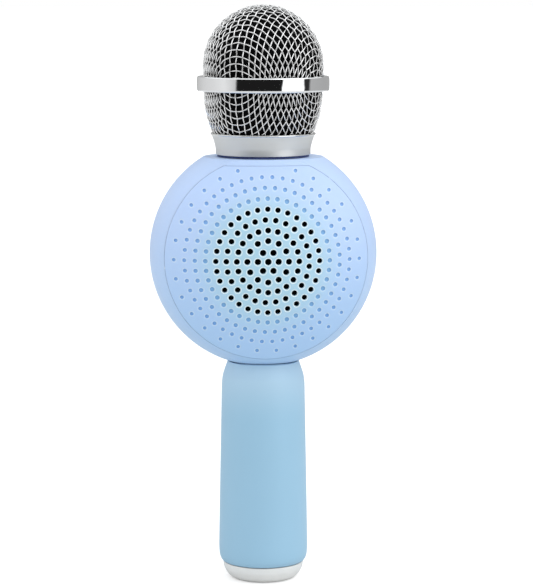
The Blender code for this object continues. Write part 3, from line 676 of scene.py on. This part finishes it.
# %% [markdown]
# ### The loudspeaker cover
# Ninety-six holes let the sound out, in rings of six, twelve, twenty, twenty-five and thirty-two
# round a middle one. Outside them, four more rings carry on the pattern as blind dimples that
# shrink towards the edge. Each ring starts from the left. The two places nearest the straight
# edge in the last ring are left blank, as there is no room for them.

# %% Loudspeaker cover
HOLE_PITCH = 4.22
RIM = 0.52  # width of the softened edge round a hole
THROUGH = {0: 1, 1: 6, 2: 12, 3: 20, 4: 25, 5: 32}  # how many holes each ring has
BLIND = {6: 40, 7: 45, 8: 50, 9: 30}
# The strength of the painted highlight on the edges of the holes and the dimples.
HOLE_RIM_HIGHLIGHT, DIMPLE_RIM_HIGHLIGHT = 0.8, 0.35  # how pale their edges are
front = bmesh.new()
loops, holes, pits = {k: [] for k in range(10)}, [], []
for ring, count in (THROUGH | BLIND).items():
    radius = 1.35 - 0.05 * ring if ring in THROUGH else 0.98 - 0.07 * (ring - 6)
    for i in range(count):
        angle = math.pi + math.tau * i / count
        at = Vector((math.cos(angle), math.sin(angle))) * ring * HOLE_PITCH
        if at.y > CHORD_UP - 1.5:
            continue
        edges = circle(front, at.x, at.y, radius + RIM, 20 if ring in THROUGH else 14)
        loops[ring].append(edges)
        holes.append((ring in THROUGH, edges, at, radius))
half_way = [(k + 0.5) * HOLE_PITCH for k in range(9)]
between = [circle(front, 0, 0, r, sides_for(r)) for r in half_way]
outline = cover_outline(front)
fill_between(front, between[0], *loops[0])
for ring in range(1, 9):
    fill_between(front, between[ring - 1], between[ring], *loops[ring])
fill_between(front, between[8], outline, *loops[9])
for through, edges, at, radius in holes:
    if through:
        steps = [(radius + 0.42, 0.03), (radius + 0.05, 0.2), (radius, 0.4), (radius, 2.0)]
    else:
        steps = [(radius + 0.3, 0.02), (radius, 0.12), (radius * 0.9, 0.4), (radius * 0.6, 0.55)]
        pits.append((at, radius))
    sink(front, edges, at, radius + RIM, steps, close=not through)
print(sum(h[0] for h in holes), "holes and", len(pits), "dimples")
rim_highlights = [(at, r - 0.02, HOLE_RIM_HIGHLIGHT if through else DIMPLE_RIM_HIGHLIGHT) for through, _, at, r in holes]
domed("speaker_cover", "front_cover", front, outline, pits, rim_highlights, front_frame)

# %% [markdown]
# ### The control cover
# The cover at the back has a large power key in the middle and four smaller ones round it. Below
# are a charging socket and a round audio jack, and above is a small status lamp. The socket's
# opening is a circle whose two halves have been pulled apart.

# %% Control cover
KEYS = {
    "power": (0.0, 0.0, 6.0),
    "volume_up": (0.0, 15.0, 4.2),
    "next": (-15.0, 0.0, 4.2),
    "volume_down": (0.0, -15.0, 4.2),
    "echo": (15.0, 0.0, 4.2),
}
SOCKET_AT, JACK_AT, LAMP_AT = Vector((-7.0, -24.0)), Vector((8.5, -23.5)), Vector((0.0, 24.0))


def oblong(bm, at, half_width, end_radius, sides=32):
    """The edges of a circle that is stretched sideways into a slot."""
    edges = circle(bm, at.x, at.y, end_radius, sides)
    verts = {v for e in edges for v in e.verts}
    for side in (-1, 1):
        part = [v for v in verts if (v.co.x - at.x) * side > 1e-4]
        bmesh.ops.translate(bm, verts=part, vec=(side * (half_width - end_radius), 0, 0))
    return edges


rear = bmesh.new()
inner = [circle(rear, 0, 0, KEYS["power"][2] + 0.6, 64)]
middle = [circle(rear, x, y, r + 0.6, 48) for x, y, r in list(KEYS.values())[1:]]
outer = [circle(rear, *JACK_AT, 3.8, 40), circle(rear, *LAMP_AT, 1.7, 24)]
outer.append(oblong(rear, SOCKET_AT, 5.1, 2.2))
rims = [circle(rear, 0, 0, r, sides_for(r)) for r in (8.4, 20.3, 29.5, 33.5, 37.0)]
outline = cover_outline(rear)
fill_between(rear, inner[0], rims[0])
fill_between(rear, rims[0], rims[1], *middle)
fill_between(rear, rims[1], rims[2], *outer)
fill_between(rear, rims[2], rims[3])
fill_between(rear, rims[3], rims[4])
fill_between(rear, rims[4], outline)
openings = [(edges, (x, y), r + 0.6) for edges, (x, y, r) in zip(inner + middle, KEYS.values())]
openings += zip(outer, (JACK_AT, LAMP_AT, SOCKET_AT), (3.8, 1.7, 2.2))
for edges, at, r in openings:
    sink(rear, edges, at, r, [(r - 0.18, 0.04), (r - 0.28, 0.16), (r - 0.3, 0.35), (r - 0.3, 2.0)])
domed("control_cover", "rear_cover", rear, outline, [], [], rear_frame)

# %% [markdown]
# ## Keys, marks and sockets
# Each key is turned with a soft crown and carries a raised mark that anyone can read: a plus and
# a minus, an arrow, a ring with a bar for power, and two arcs for echo. The marks ride with their
# keys. The charging socket is a thin pressed shell with a tongue, and the jack is a plain barrel.


# %% Keys
def at_rear(x, y):
    """The frame of something that stands on the control cover."""
    return rear_frame @ Matrix.Translation((x, y, 0))


KEY_STANDS_OUT = 1.0
key_top = {}
for name, (x, y, radius) in KEYS.items():
    top = key_top[name] = dome_height(math.hypot(x, y)) + KEY_STANDS_OUT
    crown = [(0, top), (radius * 0.5, top - 0.14), (radius - 0.7, top - 0.5), (radius, top - 0.95)]
    profile = flowing(crown, 5) + [(radius, 28.9), (radius + 0.8, 28.9), (radius + 0.8, 27.9)]
    key = turned(profile + [(1.6, 27.9), (1.6, 25.1), (0, 25.1)], 72)
    bevel(key, rings_at(key, [(radius, top - 0.95)]), 0.35)
    finished(
        f"{name}_key", key, key_plastic, f"{name}_button", [f"{name}_button"],
        at_rear(x, y),
    )


# %% Marks on the keys
def bar(bm, x, y, width, height, turn=0.0):
    """A low block on the plane, with its top corners bevelled later."""
    matrix = Matrix.Translation((x, y, 0)) @ Matrix.Rotation(turn, 4, "Z")
    bmesh.ops.create_cube(bm, size=1.0, matrix=matrix @ Matrix.Diagonal((width, height, 0.7, 1)))


def arc_bar(bm, radius, width, start, sweep):
    """A low block that is spun about the key's centre."""
    corners = [(radius - width / 2, -0.35), (radius + width / 2, -0.35)]
    corners += [(radius + width / 2, 0.35), (radius - width / 2, 0.35)]
    turn = Matrix.Rotation(start, 3, "Z")
    verts = [bm.verts.new(turn @ Vector((r, 0, h))) for r, h in corners]
    face = bm.faces.new(verts)
    bmesh.ops.spin(
        bm, geom=[face, *face.edges, *verts], axis=(0, 0, 1), cent=(0, 0, 0), dvec=(0, 0, 0),
        angle=sweep, steps=24,
    )


def mark(name, bm):
    """Sit the mark on its key's crown."""
    x, y, radius = KEYS[name]
    top = key_top[name]
    tops = [e for e in bm.edges if all(v.co.z > 0.3 for v in e.verts)]
    tops = [e for e in tops if any(abs(f.normal.z) < 0.5 for f in e.link_faces)]
    bevel(bm, tops, 0.07, 2)
    for vert in bm.verts:
        fall = 0.14 * (vert.co.xy.length / (radius * 0.5)) ** 2
        vert.co.z += top - 0.22 - fall
    finished(f"{name}_mark", bm, mark_blue, f"{name}_button", [], at_rear(x, y))


plus = bmesh.new()
bar(plus, 0, 0, 3.0, 0.7)
for side in (-1, 1):
    bar(plus, 0, side * 0.9, 0.7, 1.19)
mark("volume_up", plus)
minus = bmesh.new()
bar(minus, 0, 0, 3.0, 0.7)
mark("volume_down", minus)
arrow = bmesh.new()
bmesh.ops.create_cone(
    arrow, cap_ends=True, segments=3, radius1=1.45, radius2=1.45, depth=0.7,
    matrix=Matrix.Translation((-0.3, 0, 0)) @ Matrix.Rotation(-math.pi / 2, 4, "Z"),
)
bar(arrow, 1.5, 0, 0.6, 2.4)
mark("next", arrow)
power = bmesh.new()
arc_bar(power, 2.1, 0.6, math.radians(122), math.radians(296))
bar(power, 0, 1.75, 0.6, 1.9)
mark("power", power)
echo = bmesh.new()
for radius in (1.0, 2.0):
    arc_bar(echo, radius, 0.55, math.radians(-50), math.radians(100))
bmesh.ops.create_cone(echo, cap_ends=True, segments=20, radius1=0.4, radius2=0.4, depth=0.7)
for vert in echo.verts:
    vert.co.x -= 0.9
mark("echo", echo)

# %% Sockets and lamp
socket = bmesh.new()
shell = [oblong(socket, SOCKET_AT, w, r, 40) for w, r in ((4.5, 1.6), (4.17, 1.27))]
fill_between(socket, *shell)
pulled(socket, shell[0], (0, 0, -5.8))
well_floor = pulled(socket, shell[1], (0, 0, -4.6))[1]
bmesh.ops.holes_fill(socket, edges=well_floor, sides=len(well_floor))
bevel(socket, shell[0] + shell[1], 0.08, 2)
bmesh.ops.translate(socket, verts=socket.verts, vec=(0, 0, 29.6))
finished(
    "charge_socket_shell", socket, plain_steel, "main_body", ["charge_socket"], rear_frame
)
tongue = bmesh.new()
bmesh.ops.create_cube(
    tongue, size=1.0, matrix=Matrix.Translation((*SOCKET_AT, 26.9)) @ Matrix.Diagonal((6.6, 0.7, 3.8, 1))
)
bevel(tongue, tongue.edges[:], 0.1, 2)
finished("charge_socket_tongue", tongue, black_plastic, "main_body", [], rear_frame)

barrel_bore = [(0, 15.0), (1.8, 15.0), (1.8, 29.1), (2.1, 29.4)]
barrel = turned(barrel_bore + [(3.2, 29.4), (3.2, 14.0), (0, 14.0)], 64)
bevel(barrel, rings_at(barrel, [(3.2, 29.4)]), 0.25)
finished(
    "audio_jack_barrel", barrel, black_plastic, "main_body", ["audio_jack"],
    at_rear(*JACK_AT),
)
lens = turned(flowing([(0, 31.0), (0.6, 30.85), (1.1, 30.3)], 4) + [(1.1, 23.8), (0, 23.8)], 32)
finished(
    "status_lamp", lens, clear_lens, "main_body", ["lamp_light_pipe"],
    at_rear(*LAMP_AT),
)

# %% [markdown]
# ## Neck, washer and collar
# The head screws on to a neck. Its thread is a small triangle that the spin operator carries
# round while dvec lifts it a little at every step. The collar flares upwards to a polished lip,
# and a thin dark washer under it draws the fine line between metal and plastic. The washer's
# navy tint is painted shade, the colour of the shadow in that gap.

# %% Neck with its thread
tube = [(16.4, 189.8), (16.4, 176.6), (18.6, 176.5), (18.6, 174.4), (14.0, 174.4), (14.0, 189.8)]
neck = turned(tube, 96, closed=True)
for side in (-1, 1):  # the two flats that keep it from turning in the ball
    for vert in neck.verts:
        if vert.co.y * side > 16.7 and vert.co.z < 176.6:
            vert.co.y = 16.7 * side
bevel(neck, rings_at(neck, [(16.4, 189.8)]), 0.3)
tooth = [neck.verts.new(p) for p in ((16.35, 0, 180.6), (16.66, 0, 180.95), (16.35, 0, 181.3))]
tooth_face = neck.faces.new(tooth)
steps_per_turn, turns, rise = 72, 5, 1.5
bmesh.ops.spin(
    neck, geom=[tooth_face, *tooth_face.edges, *tooth], axis=(0, 0, 1), cent=(0, 0, 0),
    dvec=(0, 0, rise / steps_per_turn), angle=math.tau * turns, steps=steps_per_turn * turns,
)
finished("neck_screw", neck, ball_plastic, "main_body", ["neck_tube"])

# %% Washer and collar
washer_profile = [(19.1, 179.7), (19.2, 179.4), (19.1, 179.1), (16.8, 179.1), (16.8, 179.7)]
washer = turned(washer_profile, 120, closed=True)
# The washer's navy tint is painted shade.
finished("neck_washer", washer, dark_rubber_navy_shade, "lift_ring", ["neck_gasket"])
flare = flowing(
    [(19.75, 180.0), (19.8, 182.3), (20.15, 183.9), (20.6, 185.6), (21.15, 187.2), (21.45, 187.9)], 5
)
lip = flowing([(21.5, 188.0), (21.85, 188.2), (21.9, 188.45), (21.75, 188.7), (21.45, 188.8)], 4)
collar_inside = [(21.2, 188.6), (20.9, 187.2), (16.8, 186.0), (16.8, 179.9)]
collar = turned([(19.6, 179.9)] + flare + lip + collar_inside, 180, closed=True)
finished("collar", collar, satin_chrome, "head", ["head_collar"])

# %% [markdown]
# ## Foam liner
# A thin foam cup lies inside the wires and stops breath noise. It is a soft piece, so its surface
# is nudged in and out by a little noise.

# %% Foam liner
FOAM_OUT_R, FOAM_IN_R, FOAM_LOW = 23.4, 20.5, 187.9
foam_out = []
for i in range(25):
    t = i * math.pi / 48
    foam_out.append((FOAM_OUT_R * math.sin(t), HEAD_Z + FOAM_OUT_R * math.cos(t)))
foam_out += flowing(
    [(FOAM_OUT_R, 214.0), (23.3, 206.0), (22.9, 200.0), (21.9, 195.0), (20.3, 190.2), (19.6, FOAM_LOW)],
    5,
)
foam_in = [(17.2, FOAM_LOW), (17.6, 190.5), (19.2, 195.5), (20.3, 200.0), (FOAM_IN_R, HEAD_Z)]
for i in range(1, 9):
    t = i * math.pi / 16
    foam_in.append((FOAM_IN_R * math.cos(t), HEAD_Z + FOAM_IN_R * math.sin(t)))
foam = turned(foam_out + foam_in, 120)
for vert in foam.verts:
    if math.hypot(vert.co.x, vert.co.y) > 0.5:
        out = Vector((vert.co.x, vert.co.y, 0)).normalized()
        vert.co += out * 0.18 * noise.noise(vert.co * 1.1)
foam_piece = finished(
    "foam_liner", foam, black_foam, "head", ["foam_windscreen"], even=False
)

# %% [markdown]
# ## Woven wire
# The grille is ordinary square mesh that was pressed over a form. The wires nearly keep their
# spacing along each other, and mostly the angle between them changes, so squares near the two
# main wires turn into tall diamonds between them. That is easy to follow: starting at the pole,
# each new crossing lies about a pitch from two crossings that are known, and on the form. Three
# equations, three unknowns. Only a quarter is worked out, and the rest is the same quarter turned.


# %% Where the wires cross
PITCH = 2.87
STRETCH = 0.10  # how much longer the wires are pulled half-way between the main ones
CLOSED_UP = 0.35  # a cell whose short diagonal is less than this many pitches has closed up
WIRE_R = 0.26
WEAVE = 1.15  # how far a wire swings out and in at a crossing, in wire radii


class Form:
    """A smooth form for the mesh: a half ellipsoid that runs on as a cylinder."""

    def __init__(self, radius, height, centre, up):
        self.radius, self.height, self.centre, self.up = radius, height, centre, up

    def meridian(self, t):
        """A point at angle t from the pole, along the first main wire."""
        if t < math.pi / 2:
            z = self.up * self.height * math.cos(t)
            return Vector((self.radius * math.sin(t), 0, self.centre + z))
        return Vector((self.radius, 0, self.centre - self.up * self.height * (t - math.pi / 2)))

    def distance(self, p):
        """Zero on the form, and the direction in which it grows."""
        dz = (p.z - self.centre) / self.height
        if dz * self.up < 0:
            dz = 0.0
        flat = Vector((p.x, p.y, 0)) / self.radius
        slope = Vector((flat.x / self.radius, flat.y / self.radius, dz / self.height))
        return (flat.length_squared + dz * dz - 1) / 2, slope


def main_wire(form, count):
    """Crossings one pitch apart down the meridian."""
    t, found = 0.0, [form.meridian(0.0)]
    for _ in range(count):
        speed = (form.meridian(t + 1e-4) - form.meridian(t)).length / 1e-4
        guess = t + PITCH / speed
        for _ in range(4):
            guess += (PITCH - (form.meridian(guess) - found[-1]).length) / speed
        t = guess
        found.append(form.meridian(t))
    return found


def quarter_of_crossings(form, count):
    """Crossings (i, j) of one quarter of the mesh. It stops where the cells have closed up."""
    nodes = {}
    for i, p in enumerate(main_wire(form, count)):
        nodes[i, 0] = p
        nodes[0, i] = Vector((-p.y, p.x, p.z))
    for total in range(2, 2 * count):
        for i in range(1, total):
            j = total - i
            near = [nodes.get(k) for k in ((i - 1, j), (i, j - 1), (i - 1, j - 1))]
            if None in near:
                continue
            a, b, last = near
            p = a + b - last
            between = (2 * i * j / (i * i + j * j)) ** 2
            pulled = PITCH * (1 + STRETCH * between * min(1, math.sqrt(i * j) / 9))
            for _ in range(12):
                off, slope = form.distance(p)
                rows = Matrix((2 * (p - a), 2 * (p - b), slope))
                if abs(rows.determinant()) < 1e-9:
                    break
                from_a = (p - a).length_squared - pulled**2
                from_b = (p - b).length_squared - pulled**2
                miss = Vector((from_a, from_b, off))
                p = p - rows.inverted() @ miss
                if miss.length < 1e-6:
                    break
            if miss.length < 1e-4 and (p - last).length > CLOSED_UP * PITCH:
                nodes[i, j] = p
    return nodes


def crossing(nodes, a, b):
    """Crossing (a, b) anywhere on the mesh, from the quarter that was worked out."""
    turns = 0
    while not (a > 0 and b >= 0) and (a or b):
        a, b, turns = b, -a, turns + 1
    p = nodes.get((a, b))
    return p and Matrix.Rotation(turns * math.pi / 2, 3, "Z") @ p


# %% [markdown]
# Each wire is then a Bezier curve through its crossings, pushed outwards where it goes over and
# inwards where it goes under. Ends that would pass the band or the collar are trimmed there.


# %% Wires through the crossings
def wires(form, low, high, count, swing):
    """Runs of points for every wire between the heights low and high."""
    nodes = quarter_of_crossings(form, count)
    swing_matrix = Matrix.Rotation(math.radians(swing), 3, "Z")
    runs = []
    for family in (0, 1):
        for fixed in range(-count, count + 1):
            run = []
            last = None
            for k in range(-count, count + 1):
                a, b = (k, fixed) if family == 0 else (fixed, k)
                p = crossing(nodes, a, b)
                if p is not None:
                    over = 1 if (a + b + family) % 2 else -1
                    p = p + form.distance(p)[1].normalized() * over * WIRE_R * WEAVE
                inside = p is not None and low < p.z < high
                if p is not None and last is not None and inside != last[1]:
                    limit = low if min(p.z, last[0].z) < low else high
                    t = (limit - last[0].z) / (p.z - last[0].z)
                    run.append(last[0].lerp(p, t))
                if inside:
                    run.append(p)
                elif run:
                    runs.append(run)
                    run = []
                last = (p, inside) if p is not None else None
            if run:
                runs.append(run)
    return [[swing_matrix @ p for p in run] for run in runs if len(run) > 1], nodes


def woven(name, node, form, low, high, count, swing):
    """The wires as tubes, in one mesh."""
    runs, nodes = wires(form, low, high, count, swing)
    curve = bpy.data.curves.new(name, "CURVE")
    curve.dimensions = "3D"
    curve.resolution_u = 3
    curve.bevel_depth = WIRE_R * MM
    curve.bevel_resolution = 2
    curve.use_fill_caps = True
    for run in runs:
        spline = curve.splines.new("BEZIER")
        spline.bezier_points.add(len(run) - 1)
        for point, p in zip(spline.bezier_points, run):
            point.co = p * MM
            point.handle_left_type = point.handle_right_type = "AUTO"
    made = placed(name + "_curve", curve)
    bpy.context.view_layer.update()
    graph = bpy.context.evaluated_depsgraph_get()
    mesh = bpy.data.meshes.new_from_object(made.evaluated_get(graph))
    bpy.data.objects.remove(made)
    bm = bmesh.new()
    bm.from_mesh(mesh)
    bpy.data.meshes.remove(mesh)
    bmesh.ops.remove_doubles(bm, verts=bm.verts, dist=1e-6)
    print(name, len(runs), "wires,", len(nodes), "crossings in a quarter")
    return finished(name, bm, wire_chrome, "head", [node], Matrix.Identity(4), even=False)


dome_form = Form(24.62, 24.62, HEAD_Z, 1)
bowl_form = Form(24.25, 32.6, 206.0, -1)
woven("wire_dome", "grille_dome", dome_form, 208.2, 300.0, 19, -120.0)
woven("wire_bowl", "grille_bowl", bowl_form, 187.4, 209.8, 22, -121.0)

# %% [markdown]
# ## The chrome band
# A channel section hides the edges of both wire cups. Its face bulges very slightly, which
# stretches the reflections of the room into long soft shapes.

# %% Chrome band
BAND_LOW, BAND_HIGH, BAND_IN_R = 206.15, 212.25, 25.3
face = [(27.1, 206.2), (27.42, 206.6), (27.52, 207.6), (27.56, 209.2)]
face += [(27.52, 210.8), (27.42, 211.8), (27.1, 212.2)]
channel = [(BAND_IN_R, 211.5), (26.6, 211.5), (26.6, 206.9), (BAND_IN_R, 206.9)]
band_profile = [(BAND_IN_R, BAND_LOW), (26.7, BAND_LOW)] + flowing(face, 5)
band_profile += [(26.7, BAND_HIGH), (BAND_IN_R, BAND_HIGH)] + channel
band = turned(band_profile, 192, closed=True)
bevel(band, rings_at(band, [(BAND_IN_R, BAND_LOW), (BAND_IN_R, BAND_HIGH)]), 0.15, 2)
finished("chrome_band", band, polished_chrome, "head", ["grille_band"])

# %% [markdown]
# ## Floor, light and camera
# The microphone stands on a plain pale floor. The camera sees it almost white, while the light
# that it throws back up at the microphone is weaker, so that the undersides stay a little darker.

# %% Floor
FLOOR_LIFT = 0.45  # extra light that only the camera sees, so that the floor looks white
ground = bmesh.new()
bmesh.ops.create_circle(ground, cap_ends=True, radius=30.0, segments=96)
floor = placed("floor", mesh_from(ground, "floor"))
floor_finish = new_finish("floor_finish", (0.70, 0.70, 0.70), 0.7, mottle=0.004, mottle_mm=400)
nodes, links, shader, place = parts_of(floor_finish)
ray = nodes.new("ShaderNodeLightPath")
lift = maths(nodes, links, "MULTIPLY", ray.outputs["Is Camera Ray"], FLOOR_LIFT)
links.new(lift, shader.inputs["Emission Strength"])
shader.inputs["Emission Color"].default_value = (1, 1, 1, 1)
floor.data.materials.append(floor_finish)

# %% [markdown]
# A soft sky and a wide soft sun from above light the plastics. Chrome can only look like chrome if
# it has something to mirror, so a round screen stands about the microphone. Only mirrored rays see
# it. Its brightness changes as you walk round it: a dark stretch behind the camera, a bright lamp
# to the right of that, and paler and darker greys for the rest. A little noise bends the borders.

# %% Light
world = bpy.data.worlds.new("studio")
bpy.context.scene.world = world
world.use_nodes = True
sky = world.node_tree.nodes["Background"]
sky.inputs["Color"].default_value = (0.965, 0.985, 1.0, 1)
sky.inputs["Strength"].default_value = 1.05
seen = world.node_tree.nodes.new("ShaderNodeBackground")
seen.inputs["Color"].default_value = (1, 1, 1, 1)
ray = world.node_tree.nodes.new("ShaderNodeLightPath")
either = world.node_tree.nodes.new("ShaderNodeMixShader")
join = world.node_tree.links.new
join(ray.outputs["Is Camera Ray"], either.inputs["Fac"])
join(sky.outputs["Background"], either.inputs[1])
join(seen.outputs["Background"], either.inputs[2])
join(either.outputs["Shader"], world.node_tree.nodes["World Output"].inputs["Surface"])


def aimed(obj, at, target=(0, 0, 0.13)):
    """Stand a light or a camera at a place, and turn it to the target."""
    obj.location = at
    obj.rotation_euler = (Vector(target) - Vector(at)).to_track_quat("-Z", "Y").to_euler()


sun_data = bpy.data.lights.new("soft_sun", "SUN")
sun_data.energy = 0.62
sun_data.angle = math.radians(60)
aimed(placed("soft_sun", sun_data), (0.95, -0.6, 1.35))

# %% Round screen
# Each row is a compass angle in degrees, seen from the microphone, and the grey there. The camera
# stands near 0, and +90 is to its right.
GREYS = [(-180, 0.42), (-150, 0.58), (-130, 0.68), (-100, 0.76), (-74, 0.85), (-53, 0.62)]
GREYS += [(-49, 0.012), (29, 0.012), (31, 1.5), (70, 1.5), (73, 0.03), (83, 0.03)]
GREYS += [(88, 0.46), (126, 0.42), (180, 0.42)]
screen_finish = bpy.data.materials.new("screen_greys")
screen_finish.use_nodes = True
nodes, links = screen_finish.node_tree.nodes, screen_finish.node_tree.links
nodes.remove(nodes["Principled BSDF"])
place = nodes.new("ShaderNodeTexCoord")
bend = nodes.new("ShaderNodeTexNoise")
bend.inputs["Scale"].default_value = 3.0
links.new(place.outputs["Object"], bend.inputs["Vector"])
along = split_up(nodes, links, place)
front_way = maths(nodes, links, "MULTIPLY", along["Y"], -1.0)
compass = maths(nodes, links, "ARCTAN2", along["X"], front_way)
centred = maths(nodes, links, "SUBTRACT", bend.outputs["Fac"], 0.5)
wobble = maths(nodes, links, "MULTIPLY", centred, 0.2)
bent = maths(nodes, links, "ADD", compass, wobble)
from_the_back = maths(nodes, links, "ADD", bent, math.pi)
greys = nodes.new("ShaderNodeValToRGB")
links.new(maths(nodes, links, "DIVIDE", from_the_back, math.tau), greys.inputs["Fac"])
ramp = greys.color_ramp
ramp.elements.remove(ramp.elements[1])
for i, (angle, grey) in enumerate(GREYS):
    stop = ramp.elements.new((angle + 180) / 360) if i else ramp.elements[0]
    stop.color = (grey, grey, grey, 1)
glow = nodes.new("ShaderNodeEmission")
links.new(greys.outputs["Color"], glow.inputs["Color"])
links.new(glow.outputs["Emission"], nodes["Material Output"].inputs["Surface"])

SCREEN_R = 1.05
round_screen = bmesh.new()
low = round_screen.verts.new((SCREEN_R, 0, 0.002))
high = round_screen.verts.new((SCREEN_R, 0, 0.75))
edge = round_screen.edges.new((low, high))
bmesh.ops.spin(
    round_screen, geom=[low, high, edge], axis=(0, 0, 1), cent=(0, 0, 0), dvec=(0, 0, 0),
    angle=math.tau, steps=120, use_merge=True,
)
screen = placed("round_screen", mesh_from(round_screen, "round_screen"))
screen.data.materials.append(screen_finish)
for kind in ("camera", "diffuse", "shadow", "transmission"):
    setattr(screen, f"visible_{kind}", False)
print("round screen with", len(GREYS), "greys")

# %% [markdown]
# The camera stands nearly a metre away with a long lens, so that the near side of the ball isn't
# swollen. It is a little to the left and a little above, and looks slightly down.

# %% Camera
eye_data = bpy.data.cameras.new("camera")
eye_data.lens = 141.9
eye_data.clip_end = 100
eye = placed("camera", eye_data)
bpy.context.scene.camera = eye
DISTANCE = 0.97
turn, rise = math.radians(-3.6), math.radians(7.5)
away = Vector((math.sin(turn) * math.cos(rise), -math.cos(turn) * math.cos(rise), math.sin(rise)))
look_at = Vector((0.0014, 0, 0.1214))
aimed(eye, look_at + away * DISTANCE, look_at)
bpy.context.scene.view_settings.view_transform = "Standard"

# %% The end
bpy.context.view_layer.update()
